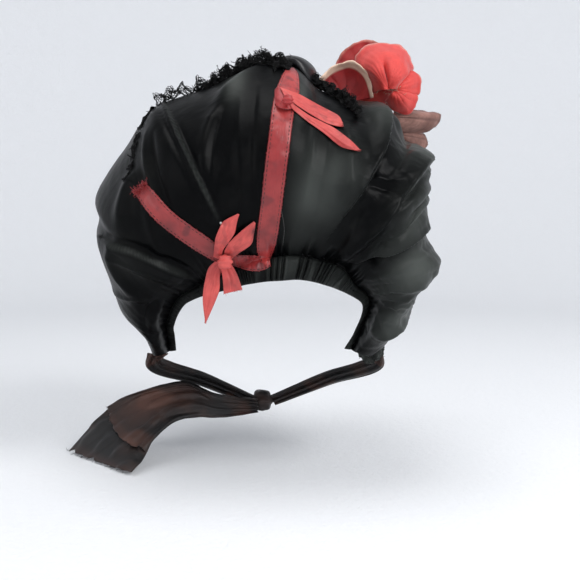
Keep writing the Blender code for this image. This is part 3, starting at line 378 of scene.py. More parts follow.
def curve(table, name, keys):
    """Values of a table's column at keys, on a smooth curve through its rows."""
    xs = np.array([row[0] for row in table], float)
    ys = np.array([getattr(row, name) for row in table], float)
    keys = np.clip(np.asarray(keys, float), xs[0], xs[-1])
    index = np.clip(np.searchsorted(xs, keys, side="left") - 1, 0, len(xs) - 2)
    slope = np.diff(ys) / np.diff(xs)
    bend = np.concatenate([slope[:1], (ys[2:] - ys[:-2]) / (xs[2:] - xs[:-2]), slope[-1:]])
    run = xs[index + 1] - xs[index]
    t = (keys - xs[index]) / run
    ease = t * t * (3 - 2 * t)
    return (ys[index] * (1 - ease) + ys[index + 1] * ease
            + run * (bend[index] * t * (1 - t) ** 2 - bend[index + 1] * t * t * (1 - t)))


def smooth_line(points, count):
    """Evenly keyed points on a smooth curve through a few given ones."""
    points = np.array(points, float)
    Key = namedtuple("Key", "key " + " ".join("c%d" % n for n in range(points.shape[1])))
    table = [Key(i / (len(points) - 1), *point) for i, point in enumerate(points)]
    keys = np.linspace(0, 1, count)
    return np.stack([curve(table, name, keys) for name in Key._fields[1:]], -1)


def unit(vectors):
    """Vectors scaled to length one."""
    return vectors / np.maximum(np.linalg.norm(vectors, axis=-1, keepdims=True), 1e-9)


def ease_step(low, high, values):
    """0 below low, 1 above high and a smooth step between."""
    t = np.clip((values - low) / (high - low), 0, 1)
    return t * t * (3 - 2 * t)


def noise_at(points, scale, seed=0.0):
    """Smooth noise from about -1 to 1 at points, with features of about 1/scale metres."""
    flat = np.asarray(points, float).reshape(-1, 3) * scale + seed * 17.3
    values = np.array([noise.noise(Vector(p)) for p in flat])
    return values.reshape(np.asarray(points).shape[:-1])


def rim_points(turns):
    """Widest line of the crown."""
    return np.stack([curve(OUTLINE, "across", turns) * CROWN_WIDTH / 2,
                     curve(PUFF, "forward", turns) * CROWN_DEPTH,
                     CORNER_Z + curve(OUTLINE, "up", turns) * CROWN_HEIGHT], -1)


def nape_points(turns):
    """Line of the nape's arch."""
    return np.stack([curve(NAPE, "across", turns) * NAPE_WIDTH / 2,
                     -curve(NAPE, "back", turns) * NAPE_REACH,
                     CORNER_Z + curve(NAPE, "up", turns) * NAPE_RISE], -1)


def outward(turns):
    """Ways from the nape's arch to the rim, seen from behind."""
    step = rim_points(turns) - nape_points(turns)
    step[..., 1] = 0
    return unit(step)


def brim_points(turns, forward):
    """Outer face of the brim, forward of the line where the crown joins it."""
    across = curve(BRIM, "across", turns) * CROWN_WIDTH / 2
    up = curve(BRIM, "up", turns) * CROWN_HEIGHT
    share = np.maximum(forward, 0) / (curve(BRIM, "reach", turns) * BRIM_LENGTH)
    spread = 1 + (curve(BRIM, "spread", turns) - 1) * share ** 1.5
    middle = CROWN_HEIGHT / 2
    join = curve(PUFF, "forward", turns) * CROWN_DEPTH + JOIN_FORWARD
    return np.stack([across * spread, join + forward, CORNER_Z + middle + (up - middle) * spread],
                    -1)


def crown_points(turns, shares):
    """Smooth outer face of the crown: share 0 at the casing, 1 at the rim, 1.25 at the brim."""
    turns, shares = np.broadcast_arrays(np.asarray(turns, float), np.asarray(shares, float))
    rim = rim_points(turns)
    nape = nape_points(turns) + outward(turns) * (
        curve(NAPE, "casing", turns) * CASING_HEIGHT + CLEARANCE)[..., None]
    back = curve(PUFF, "back", turns) * CROWN_DEPTH + rim[..., 1]
    start = -np.arccos(np.clip((rim[..., 1] - nape[..., 1]) / back, 0.05, 0.98))
    angle = start + (math.pi / 2 - start) * np.minimum(shares, 1)
    along = (np.sin(angle) - np.sin(start)) / (1 - np.sin(start))
    puffed = nape + (rim - nape) * along[..., None]
    puffed[..., 1] = rim[..., 1] - back * np.cos(angle)
    seat = brim_points(turns, 0)
    run = brim_points(turns + 0.005, 0) - brim_points(turns - 0.005, 0)
    away = unit(np.stack([-run[..., 2], 0 * run[..., 0], run[..., 0]], -1))
    seat = seat + away * (CLEARANCE + 0.6 * SILK_WALL)
    turned = (shares - 1) / 0.25 * math.pi / 2
    tucked = rim + (seat - rim) * (1 - np.cos(turned))[..., None]
    tucked[..., 1] = rim[..., 1] + (seat - rim)[..., 1] * np.sin(turned)
    return np.where((shares <= 1)[..., None], puffed, tucked)


def fold_lift(points, turns, shares, folds):
    """Height that folds add to the crown at its points, and how near they are to a lap's edge,
    where the crown's colour gets a painted highlight line.
    """
    lift = np.zeros(turns.shape)
    edge = np.zeros(turns.shape)
    for fold in folds:
        t = np.linspace(0, 1, 90)[:, None]
        a, m, b = (np.array(end) for end in (fold.start, fold.middle, fold.end))
        places = (1 - t) ** 2 * a + 2 * t * (1 - t) * (2 * m - (a + b) / 2) + t * t * b
        line = crown_points(places[:, 0], places[:, 1])
        width = fold.width * FOLD_WIDTH
        centre = line.mean(0)
        reach = np.linalg.norm(line - centre, axis=1).max() + 3 * width
        mask = np.linalg.norm(points - centre, axis=-1) < reach
        steps = np.linalg.norm(points[mask][:, None, :] - line[None], axis=2)
        near = steps.argmin(1)
        distance = steps.min(1)
        end = np.minimum(near, len(line) - 1 - near) / (len(line) - 1)
        boost = FOLD_BOOST + RIGHT_BOOST * ease_step(0.58, 0.66, fold.middle[0])
        height = boost * fold.height * FOLD_HEIGHT * np.minimum(1, 0.35 + 3 * end)
        if fold.kind == "lap":
            before = places[np.maximum(near - 1, 0)]
            after = places[np.minimum(near + 1, len(line) - 1)]
            side = ((after[:, 0] - before[:, 0]) * (shares[mask] - before[:, 1])
                    - (after[:, 1] - before[:, 1]) * (turns[mask] - before[:, 0]))
            signed = np.sign(side) * distance / width
            step = (0.5 - 0.5 * np.tanh(12 * signed)) * np.exp(-(0.7 * signed) ** 2)
            lip = 0.05 * np.exp(-((signed + 0.10) / 0.08) ** 2)
            foot = -0.14 * np.exp(-((signed - 0.13) / 0.10) ** 2)
            lift[mask] += height * (step + lip + foot)
            # Nearness to the lap's edge, which the crown's colour turns into a painted highlight
            # line
            lap_highlight = np.exp(-(distance / LAP_HIGHLIGHT_WIDTH) ** 2) * np.minimum(1, 8 * end)
            edge[mask] = np.maximum(edge[mask], fold.height * lap_highlight)
        else:
            sign = 1 if fold.kind == "crest" else -1
            shape = (1 + (distance / (0.75 * width)) ** 2) ** -1.6
            lift[mask] += sign * height * shape * np.exp(-(0.45 * distance / width) ** 2)
    return lift, edge


def grid_normals(grid):
    """Outward unit normals of a grid whose rows run along the turns."""
    return unit(np.cross(np.gradient(grid, axis=0), np.gradient(grid, axis=1)))


def folded_crown(turns, shares, folds):
    """Grid of points on the folded crown, with its lift and edge values. Shares below 0 turn into
    the casing."""
    # The smooth crown, whose first rows turn into the casing
    turns, shares = np.meshgrid(turns, shares, indexing="ij")
    above = np.maximum(shares, 0)
    base = crown_points(turns, above)
    casing = curve(NAPE, "casing", turns)
    inside = nape_points(turns) + outward(turns) * (0.5 * CASING_HEIGHT * casing)[..., None]
    inside[..., 1] -= CASING_THICKNESS * (0.30 + 0.55 * casing) / 2 * (
        1 - ease_step(0.55, 0.80, casing))
    base = base + (inside - base) * np.clip(-shares / CASING_SHARE, 0, 1)[..., None]
    normals = grid_normals(crown_points(turns, above + 0.002 * np.arange(shares.shape[1])
                                        / shares.shape[1]))
    # Folds, calmer towards the rim
    hold = np.clip(above / 0.10, 0, 1) * np.clip((1.12 - shares) / 0.12, 0, 1)
    hold *= np.clip(turns / 0.06, 0, 1) * np.clip((1 - turns) / 0.06, 0, 1)
    calm = 1 - 0.75 * ease_step(0.64, 0.95, shares)
    lift, edge = fold_lift(base, turns, shares, folds)
    lift *= hold * calm
    # Gathers that run out from the casing to an uneven reach
    gather = curve(NAPE, "casing", turns) ** 1.5
    wander_by = noise_at(np.stack([turns * 0.4, above * 0.10, 0 * turns], -1), 60)
    phase = gather_phase(turns) + 1.8 * wander_by
    reach = 0.09 + 0.05 * noise_at(np.stack([turns, 0 * turns, 0 * turns], -1), 46, 2)
    drawn = gather * np.exp(-(above / np.maximum(reach, 0.03)) ** 2)
    lift += GATHER_DEPTH * drawn * (1 - 2 * np.abs(np.sin(phase / 2)) ** 1.3)
    # Ridged rumples that slant across the right side
    rumple = np.stack([turns * 1.0 - 0.10 * above, above * 0.10, 0 * turns], -1)
    ridged = 1 - 2.4 * np.abs(noise_at(rumple, 24, 41))
    finer = 1 - 2.4 * np.abs(noise_at(rumple, 55, 43))
    right = ease_step(0.60, 0.70, turns) * (1 - ease_step(0.93, 0.99, turns))
    low = ease_step(0.80, 0.87, turns) * (1 - ease_step(0.93, 0.99, turns))
    amount = (RUMPLE + RIGHT_RUMPLE * right + LOW_RUMPLE * low) * hold
    lift += amount * ridged + 0.45 * amount * finer
    return base + normals * lift[..., None], lift, edge * hold


def gather_phase(turns):
    """Running phase of the gathers along the nape, so that casing and crown share them."""
    uneven = noise_at(np.stack([turns, 0 * turns, 0 * turns], -1), 21, 2)
    return 2 * math.pi * (GATHERS * turns + GATHER_DRIFT * uneven)


def grid_faces(rows, columns, closed=False):
    """Four sided faces of a grid of points."""
    i, j = np.meshgrid(np.arange(rows - 1), np.arange(columns if closed else columns - 1),
                       indexing="ij")
    a = i * columns + j
    b = i * columns + (j + 1) % columns
    return np.stack([a, b, b + columns, a + columns], -1).reshape(-1, 4)


def add_mesh(name, points, faces, material, uvs=None, values=None):
    """A smooth shaded piece that rides on the bonnet's body."""
    mesh = bpy.data.meshes.new(name)
    mesh.from_pydata(np.asarray(points).reshape(-1, 3).tolist(), [], np.asarray(faces).tolist())
    mesh.materials.append(material)
    mesh.shade_smooth()
    if uvs is not None:
        corner = np.empty(len(mesh.loops), int)
        mesh.loops.foreach_get("vertex_index", corner)
        layer = mesh.uv_layers.new(name="cloth")
        layer.data.foreach_set("uv", np.asarray(uvs).reshape(-1, 2)[corner].ravel())
    if values is not None:
        mark = mesh.attributes.new("mark", "FLOAT", "POINT")
        mark.data.foreach_set("value", np.asarray(values, float).ravel())
    piece = bpy.data.objects.new(name, mesh)
    bpy.context.scene.collection.objects.link(piece)
    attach(piece, "root")
    return piece


def grid_uvs(grid):
    """Lengths across and along a grid, in metres."""
    across = np.linalg.norm(np.diff(grid, axis=1), axis=-1).mean(0)
    along = np.linalg.norm(np.diff(grid, axis=0), axis=-1).mean(1)
    u = np.concatenate([[0], np.cumsum(across)])
    v = np.concatenate([[0], np.cumsum(along)])
    return np.stack(np.meshgrid(v, u, indexing="ij")[::-1], -1)


def add_cloth(name, grid, material, wall=0.0, closed=False, values=None):
    """Sheet of cloth through a grid of points, with a wall where its edges are seen."""
    rows, columns = grid.shape[:2]
    piece = add_mesh(name, grid, grid_faces(rows, columns, closed), material,
                     grid_uvs(grid), values)
    if wall:
        thick = piece.modifiers.new("wall", "SOLIDIFY")
        thick.thickness = wall
        thick.offset = 0
    return piece


def add_threads(name, lines, radius, material, sides=4):
    """Thin round threads along lines of points."""
    angles = np.arange(sides) / sides * 2 * math.pi
    points, faces, first = [], [], 0
    for line in lines:
        line = np.asarray(line, float)
        ahead = unit(np.gradient(line, axis=0))
        helper = np.where(np.abs(ahead[:, 2:3]) < 0.9, [[0.0, 0.0, 1.0]], [[1.0, 0.0, 0.0]])
        side = unit(np.cross(ahead, helper))
        other = np.cross(ahead, side)
        thin = radius * np.where((np.arange(len(line)) % (len(line) - 1)) == 0, 0.5, 1.0)
        ring = (np.cos(angles)[None, :, None] * side[:, None]
                + np.sin(angles)[None, :, None] * other[:, None]) * thin[:, None, None]
        points.append((line[:, None] + ring).reshape(-1, 3))
        faces.append(grid_faces(len(line), sides, closed=True) + first)
        first += len(line) * sides
    return add_mesh(name, np.concatenate(points), np.concatenate(faces), material)


def tree_of(grids):
    """Search tree over the faces of some grids."""
    points, faces, first = [], [], 0
    for grid in grids:
        rows, columns = grid.shape[:2]
        points.append(grid.reshape(-1, 3))
        faces.append(grid_faces(rows, columns) + first)
        first += rows * columns
    return BVHTree.FromPolygons(np.concatenate(points).tolist(), np.concatenate(faces).tolist())


def depth_at(tree, across, up, default):
    """Depth of the cloth that is first met from behind at each place."""
    depth = np.array(default, float)
    for index in np.ndindex(across.shape):
        start = Vector((across[index], -2 * CROWN_DEPTH, up[index]))
        hit = tree.ray_cast(start, Vector((0, 1, 0)))[0]
        if hit is not None:
            depth[index] = hit.y
    return depth


def soften(values, limit, rounds):
    """Values smoothed over a grid without passing a limit: cloth that bridges small hollows."""
    for _ in range(rounds):
        padded = np.pad(values, 1, mode="edge")
        around = (padded[:-2, 1:-1] + padded[2:, 1:-1] + padded[1:-1, :-2] + padded[1:-1, 2:]) / 4
        values = np.minimum((values + around) / 2, limit)
    return values


def lay(tree, flat, hangs=False, rounds=14):
    """Flat points seen from behind, laid on the cloth: it bridges small hollows."""
    depth = depth_at(tree, flat[..., 0], flat[..., 1], np.full(flat.shape[:2], np.nan))
    for i in range(len(flat)):
        missing = np.isnan(depth[i])
        depth[i][missing] = depth[i - 1][missing] if i else np.nanmin(depth)
        if hangs and i:
            depth[i] = np.minimum(depth[i], depth[i - 1])
    depth = soften(depth - SEAT, depth - SEAT, rounds)
    return np.stack([flat[..., 0], depth, flat[..., 1]], -1)


def strip_flat(places, widths, count, columns):
    """Flat points of a ribbon along its middle line, seen from behind."""
    keyed = smooth_line([(*place, width) for place, width in zip(places, widths)], count)
    ahead = unit(np.gradient(keyed[:, :2], axis=0))
    beside = np.stack([-ahead[:, 1], ahead[:, 0]], -1)
    offset = np.linspace(-0.5, 0.5, columns)
    return keyed[:, None, :2] + beside[:, None] * (offset[None, :] * keyed[:, 2:3])[..., None]


def edged_flat(middle, reach, rows, count, columns):
    """Flat points of a piece of ribbon between its two edges, seen from behind."""
    keyed = smooth_line([tuple(row) for row in rows], count) * reach
    t = np.linspace(0, 1, columns)[None, :, None]
    return np.array(middle) + keyed[:, None, :2] * (1 - t) + keyed[:, None, 2:] * t


def crown_place(row):
    """Place of a table's row, seen from behind."""
    return (row.across * CROWN_WIDTH / 2, CORNER_Z + row.up * CROWN_HEIGHT)


def stitches(grid, column, lift):
    """Short stitches along one column of a grid."""
    line = grid[:, column] + grid_normals(grid)[:, column] * lift
    length = np.concatenate([[0], np.cumsum(np.linalg.norm(np.diff(line, axis=0), axis=1))])
    found = []
    for k in range(int(length[-1] / STITCH_PITCH)):
        at = k * STITCH_PITCH + np.linspace(0, STITCH_LENGTH, 4)
        points = np.stack([np.interp(at, length, line[:, axis]) for axis in range(3)], -1)
        points[[0, -1], 1] += STITCH
        found.append(points)
    return found


def wander(start, way, length, bend, count=9):
    """A loose thread end that wanders off along way."""
    points = [np.array(start, float)]
    way = np.array(way, float)
    for _ in range(count - 1):
        way = unit(way + bend * np.array([RANDOM.gauss(0, 1) for _ in range(3)]))
        points.append(points[-1] + way * length / count)
    return np.array(points)


def new_material(name):
    """A material with its node tree and its shader."""
    material = bpy.data.materials.new(name)
    material.use_nodes = True
    return material, material.node_tree, material.node_tree.nodes["Principled BSDF"]


def add_node(tree, kind, settings=(), **inputs):
    """A shader node with its settings and input values."""
    made = tree.nodes.new(kind)
    for key, value in dict(settings).items():
        setattr(made, key, value)
    for key, value in inputs.items():
        made.inputs[key.replace("_", " ")].default_value = value
    return made


def mix_colour(tree, factor, first, second):
    """Mix two colours, each a colour or a socket, by a socket."""
    mix = add_node(tree, "ShaderNodeMix", {"data_type": "RGBA"})
    tree.links.new(factor, mix.inputs[0])
    for slot, value in ((6, first), (7, second)):
        if isinstance(value, tuple):
            mix.inputs[slot].default_value = (*value, 1)
        else:
            tree.links.new(value, mix.inputs[slot])
    return mix.outputs[2]


def cloth_material(name, dark, light, roughness, sheen, grain, patch=28.0, stain=None,
                   mark=None, bump=0.25, stretch=(1.0, 0.12), specular=0.5):
    """Woven cloth: patchy colour, a fine grain along the cloth and uneven gloss. stain is a
    (colour, amount) that comes in soft blots, mark the colour of the marked edges and places,
    which on some pieces is painted light and painted shade."""
    material, tree, shader = new_material(name)
    link = tree.links.new
    place = add_node(tree, "ShaderNodeTexCoord")
    patches = add_node(tree, "ShaderNodeTexNoise", Scale=patch, Detail=5.0, Roughness=0.6)
    link(place.outputs["Object"], patches.inputs["Vector"])
    weave = add_node(tree, "ShaderNodeMapping")
    weave.inputs["Scale"].default_value = (stretch[0], stretch[1], 1)
    link(place.outputs["UV"], weave.inputs["Vector"])
    threads = add_node(tree, "ShaderNodeTexNoise", Scale=grain, Detail=3.0, Roughness=0.65)
    link(weave.outputs[0], threads.inputs["Vector"])
    spread = add_node(tree, "ShaderNodeMapRange", From_Min=0.32, From_Max=0.68)
    link(patches.outputs["Fac"], spread.inputs["Value"])
    colour = mix_colour(tree, spread.outputs[0], dark, light)
    streak = add_node(tree, "ShaderNodeMapRange", From_Min=0.35, From_Max=0.75, To_Min=0.0,
                      To_Max=0.35)
    link(threads.outputs["Fac"], streak.inputs["Value"])
    colour = mix_colour(tree, streak.outputs[0], colour, tuple(c * 0.55 for c in dark))
    if stain:
        blots = add_node(tree, "ShaderNodeTexNoise", Scale=46.0, Detail=3.0, Roughness=0.55)
        link(place.outputs["Object"], blots.inputs["Vector"])
        amount = add_node(tree, "ShaderNodeMapRange", From_Min=0.52, From_Max=0.68,
                          To_Max=stain[1])
        link(blots.outputs["Fac"], amount.inputs["Value"])
        colour = mix_colour(tree, amount.outputs[0], colour, stain[0])
    if mark:
        edge = add_node(tree, "ShaderNodeAttribute", {"attribute_name": "mark"})
        colour = mix_colour(tree, edge.outputs["Fac"], colour, mark)
    link(colour, shader.inputs["Base Color"])
    gloss = add_node(tree, "ShaderNodeMapRange", To_Min=roughness - 0.07, To_Max=roughness + 0.10)
    link(patches.outputs["Fac"], gloss.inputs["Value"])
    link(gloss.outputs[0], shader.inputs["Roughness"])
    relief = add_node(tree, "ShaderNodeBump", Strength=bump, Distance=0.0004)
    link(threads.outputs["Fac"], relief.inputs["Height"])
    link(relief.outputs[0], shader.inputs["Normal"])
    shader.inputs["Specular IOR Level"].default_value = specular
    shader.inputs["Sheen Weight"].default_value = sheen
    shader.inputs["Sheen Roughness"].default_value = 0.4
    return material


def crumple(grid):
    """Small crumples of silk: the crown is given more cloth than its shape needs, and a cloth
    simulation lets it buckle while it is held softly in place."""
    rows, columns = grid.shape[:2]
    mesh = bpy.data.meshes.new("crumple")
    mesh.from_pydata(grid.reshape(-1, 3).tolist(), [], grid_faces(rows, columns).tolist())
    piece = bpy.data.objects.new("crumple", mesh)
    bpy.context.scene.collection.objects.link(piece)
    hold = piece.vertex_groups.new(name="hold")
    soft = 0.52 + 0.20 * noise_at(grid, 26, 3)
    for i in range(rows):
        for j in range(columns):
            edge = min(j, i, rows - 1 - i) == 0 or j >= columns - 3
            weight = 1.0 if edge else float(np.clip(soft[i, j], 0.30, 0.80))
            hold.add([i * columns + j], weight, "REPLACE")
    cloth = piece.modifiers.new("Cloth", "CLOTH")
    settings = cloth.settings
    settings.quality = 7
    settings.mass = 0.12
    settings.tension_stiffness = 14
    settings.compression_stiffness = 14
    settings.shear_stiffness = 6
    settings.bending_stiffness = 0.8
    settings.tension_damping = settings.compression_damping = settings.shear_damping = 8
    settings.vertex_group_mass = "hold"
    settings.pin_stiffness = 1.0
    settings.shrink_min = -0.035
    settings.effector_weights.gravity = 0.25
    cloth.collision_settings.use_collision = False
    cloth.point_cache.frame_start = 1
    cloth.point_cache.frame_end = CRUMPLE_FRAMES
    scene = bpy.context.scene
    for at in range(1, CRUMPLE_FRAMES + 1):
        scene.frame_set(at)
    done = piece.evaluated_get(bpy.context.evaluated_depsgraph_get()).to_mesh()
    result = np.empty(rows * columns * 3)
    done.vertices.foreach_get("co", result)
    scene.frame_set(1)
    bpy.data.objects.remove(piece)
    shift = result.reshape(rows, columns, 3) - grid
    size = np.linalg.norm(shift, axis=-1, keepdims=True)
    shift = shift * np.minimum(1, CRUMPLE_CAP / np.maximum(size, 1e-9))
    for _ in range(2):
        around = np.pad(shift, ((1, 1), (1, 1), (0, 0)), mode="edge")
        shift = shift / 2 + (around[:-2, 1:-1] + around[2:, 1:-1] + around[1:-1, :-2]
                             + around[1:-1, 2:]) / 8
    turns = np.linspace(0, 1, rows)
    slack = 0.15 + 0.55 * ease_step(0.60, 0.70, turns) + 0.25 * ease_step(0.25, 0.12, turns)
    return shift * slack[:, None, None]


def enlarge(values, rows, columns):
    """A grid of values resampled to more rows and columns on smooth curves."""
    for axis, count in ((0, rows), (1, columns)):
        values = np.moveaxis(values, axis, 0)
        at = np.linspace(0, len(values) - 1, count)
        low = np.clip(at.astype(int), 0, len(values) - 2)
        t = (at - low).reshape(-1, *[1] * (values.ndim - 1))
        p0, p1 = values[np.maximum(low - 1, 0)], values[low]
        p2, p3 = values[low + 1], values[np.minimum(low + 2, len(values) - 1)]
        values = 0.5 * (2 * p1 + (p2 - p0) * t + (2 * p0 - 5 * p1 + 4 * p2 - p3) * t ** 2
                        + (3 * p1 - p0 - 3 * p2 + p3) * t ** 3)
        values = np.moveaxis(values, 0, axis)
    return values


# The silk's mark colour is a dusty grey: faded silk, and painted sheen and painted light on the
# crown and casing
SILK = cloth_material("black_silk", (0.0006, 0.0007, 0.0010), (0.0016, 0.0018, 0.0021), 0.34,
                      0.0, 900.0, bump=0.22, stain=((0.0070, 0.0070, 0.0066), 0.3),
                      mark=(0.062, 0.068, 0.063), specular=0.055)
SATIN = cloth_material("black_satin", (0.003, 0.003, 0.004), (0.010, 0.010, 0.011), 0.36, 0.0,
                       900.0, bump=0.25, specular=0.35)
LINING = cloth_material("black_lining", (0.007, 0.007, 0.008), (0.014, 0.014, 0.015), 0.60, 0.10,
                        1100.0)
LACE = cloth_material("black_lace", (0.002, 0.002, 0.0025), (0.006, 0.006, 0.006), 0.75, 0.0,
                      1500.0, specular=0.2)
# The ribbon's mark colour is a darker red for painted shade on its satin
RIBBON = cloth_material("ribbon_satin", (0.30, 0.018, 0.020), (0.50, 0.052, 0.048), 0.34, 0.05,
                        1300.0, patch=34.0, stain=((0.15, 0.012, 0.014), 0.7),
                        mark=(0.11, 0.010, 0.013), bump=0.35)
CORAL = cloth_material("coral_satin", (0.44, 0.036, 0.036), (0.68, 0.105, 0.088), 0.48, 0.10,
                       1300.0, patch=42.0, stain=((0.22, 0.022, 0.022), 0.6),
                       mark=(0.12, 0.012, 0.014), bump=0.4)
# Darker copy of the coral satin that stands for shade: painted shade on the upper bow's loop and
# knot, also used for the ribbons' frays
SHADED_CORAL = cloth_material("shaded_coral_satin", (0.26, 0.010, 0.014), (0.42, 0.026, 0.028), 0.44, 0.10,
                      1300.0, patch=70.0, mark=(0.10, 0.015, 0.015))
CREAM_THREAD = cloth_material("cream_thread", (0.42, 0.26, 0.17), (0.60, 0.42, 0.30), 0.8, 0.1,
                              900.0)
# Darker copy of the rose silk: painted shade for the petals' shadowed insides
ROSE_SHADED = cloth_material("rose_silk_shaded", (0.22, 0.005, 0.007), (0.44, 0.014, 0.014), 0.60,
                             0.25, 1500.0, patch=46.0, mark=(0.80, 0.58, 0.44))
ROSE = cloth_material("rose_silk", (0.52, 0.024, 0.020), (0.70, 0.060, 0.048), 0.62, 0.25,
                      1500.0, patch=46.0, mark=(0.80, 0.62, 0.48))
LEAF = cloth_material("leaf_cloth", (0.16, 0.075, 0.060), (0.36, 0.19, 0.155), 0.85, 0.30,
                      1200.0, patch=90.0, mark=(0.09, 0.045, 0.04))
TIE = cloth_material("tie_silk", (0.0035, 0.0034, 0.0040), (0.014, 0.012, 0.012), 0.50, 0.05,
                     700.0, patch=30.0, stain=((0.040, 0.020, 0.015), 0.6),
                     mark=(0.085, 0.036, 0.025), specular=0.35)
THREAD_GREY = cloth_material("grey_thread", (0.045, 0.045, 0.043), (0.10, 0.10, 0.095), 0.7, 0.1,
                             900.0)
PEARL = cloth_material("pin_pearl", (0.50, 0.50, 0.48), (0.70, 0.70, 0.68), 0.25, 0.0, 900.0,
                       bump=0.05)
THREAD_DARK = cloth_material("dark_thread", (0.010, 0.006, 0.006), (0.03, 0.012, 0.012), 0.8, 0.1,
                             900.0)


def build_crown():
    """Puffed crown: main folds, creases, gathers and crumples, with faded places, painted sheen in
    soft patches and on its raised folds, and painted highlight lines along its laps.
    """
    turns = np.linspace(0, 1, CROWN_TURNS)
    shares = np.linspace(-CASING_SHARE, 1.25, CROWN_SHARES)
    grid, folded, edge = folded_crown(turns, shares, FOLDS + CREASES)
    rough = folded_crown(np.linspace(0, 1, SIM_TURNS),
                         np.linspace(-CASING_SHARE, 1.25, SIM_SHARES), FOLDS)[0]
    grid = grid + enlarge(crumple(rough), CROWN_TURNS, CROWN_SHARES)
    # Fine rumples, quiet on the left and where the cloth is held
    turn, share = np.meshgrid(turns, shares, indexing="ij")
    fine = noise_at(grid * np.array([1, 1, 0.45]), 150, 1)
    wide = noise_at(grid, 45, 5)
    quiet = np.clip((share - 0.02) / 0.1, 0, 1) * np.clip((1.2 - share) / 0.1, 0, 1)
    quiet *= 0.30 + 0.70 * ease_step(0.60, 0.70, turn)
    lift = FINE_RUMPLE * (1 - 2 * np.abs(fine)) * np.clip(wide + 0.4, 0, 1) * quiet
    grid = grid + grid_normals(grid) * lift[..., None]
    # Silk that is faded, and painted sheen in soft patches, painted lighter on the raised folds and
    # darker in the hollows, with a painted highlight line along each lap
    wear_and_painted_light = np.zeros(turn.shape)
    for patch in FADED_AND_SHEEN:
        away = ((turn - patch.turn) / patch.half_turn) ** 2
        away += ((share - patch.share) / patch.half_share) ** 2
        wear_and_painted_light = np.maximum(wear_and_painted_light, patch.amount * np.exp(-away))
    wear_and_painted_light *= np.clip(0.62 + 0.75 * folded / FOLD_HEIGHT, 0.04, 1.1)
    wear_and_painted_light *= 0.85 + 0.45 * noise_at(grid, 40, 47)
    wear_and_painted_light += 0.45 * edge
    piece = add_cloth("crown_cloth", grid, SILK, values=np.clip(wear_and_painted_light, 0, 1))
    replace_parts(piece, "crown")
    return grid, piece


def build_casing():
    """Gathered casing along the nape, drawn up unevenly on its cord, with painted light on its
    gathers.
    """
    rows, columns = 900, 20
    turns = np.linspace(0, 1, rows)
    gather = curve(NAPE, "casing", turns)
    height = gather * CASING_HEIGHT
    out = outward(turns)
    centre = nape_points(turns) + out * height[:, None] / 2
    angle = np.arange(columns) / columns * 2 * math.pi
    phase = gather_phase(turns)[:, None] + 0.5 * np.cos(angle)[None]
    drawn = (gather ** 1.4)[:, None]
    ruche = 1 + CASING_RUCHE * drawn * (1 - 2 * np.abs(np.sin(phase / 2)) ** 1.3)
    ruche += 0.14 * drawn * np.sin(2.7 * phase + 1.1)
    uneven = noise_at(centre, 60, 35)
    thick = CASING_THICKNESS * (0.30 + 0.55 * gather + 0.15 * uneven * gather) / 2
    lower = np.where(np.cos(angle) < 0, 1.0, 0.85)[None] * (1 + 0.10 * uneven)[:, None]
    back = np.array([0.0, -1.0, 0.0])
    grid = (centre[:, None]
            + out[:, None] * (np.cos(angle)[None] * (height * 0.54)[:, None] * lower)[..., None]
            + back * (np.sin(angle)[None] * thick[:, None] * ruche)[..., None])
    ridge = (ruche - 1) / CASING_RUCHE
    # Painted light: the casing's silk is painted lighter than its shade, with painted highlights on
    # its gather ridges, uneven in tone, and lighter on its right half, which the light falls on
    wear_and_painted_light = np.clip(0.24 + 0.12 * ridge + 0.20 * noise_at(grid, 70, 49), 0.02, 0.8)
    wear_and_painted_light *= (0.45 + 0.55 * ease_step(0.45, 0.55, turns))[:, None]
    piece = add_cloth("nape_casing_cloth", grid, SILK, closed=True, values=wear_and_painted_light)
    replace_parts(piece, "nape_casing")
    return grid


def build_brim():
    """Silk covered poke brim: outer cover, gathered lining inside and a piped front edge."""
    turns = np.linspace(0, 1, 220)
    length = curve(BRIM, "reach", turns) * BRIM_LENGTH
    share = np.linspace(0, 1, 40)
    at = np.meshgrid(turns, share, indexing="ij")
    forward = -BRIM_TUCK + (length[:, None] + BRIM_TUCK) * at[1]
    outer = brim_points(at[0], forward)
    normals = grid_normals(outer)
    outside = np.sign((normals * (outer - np.array([0, 0, CORNER_Z + CROWN_HEIGHT / 2]))).sum(-1))
    normals *= np.where(outside == 0, 1, outside)[..., None]
    pucker = 0.0004 * noise_at(outer, 90, 4) + 0.0003 * noise_at(outer, 30, 6)
    cover = outer + normals * pucker[..., None]
    piece = add_cloth("brim_cover", cover, SILK)
    wave = 2 * math.pi * (74 * at[0] + 0.6 * noise_at(outer, 50, 8))
    inner = outer - normals * (BRIM_WALL + 0.0006 + 0.0006 * np.sin(wave))[..., None]
    lining = add_cloth("brim_lining", inner, LINING)
    middle = (outer[:, -1] + inner[:, -1]) / 2
    angle = np.arange(10) / 10 * 2 * math.pi
    ahead = unit(np.gradient(outer, axis=1))[:, -1]
    piping = (middle[:, None] + normals[:, -1][:, None] * (np.cos(angle) * 0.0019)[None, :, None]
              + ahead[:, None] * (np.sin(angle) * 0.0017)[None, :, None])
    edge = add_cloth("brim_piping", piping, SILK, closed=True)
    add_threads("brim_stitches", stitches(cover, -3, 0.0001), THREAD, THREAD_DARK)
    for each in (piece, lining, edge):
        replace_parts(each, "brim")
    return cover, piece, lining


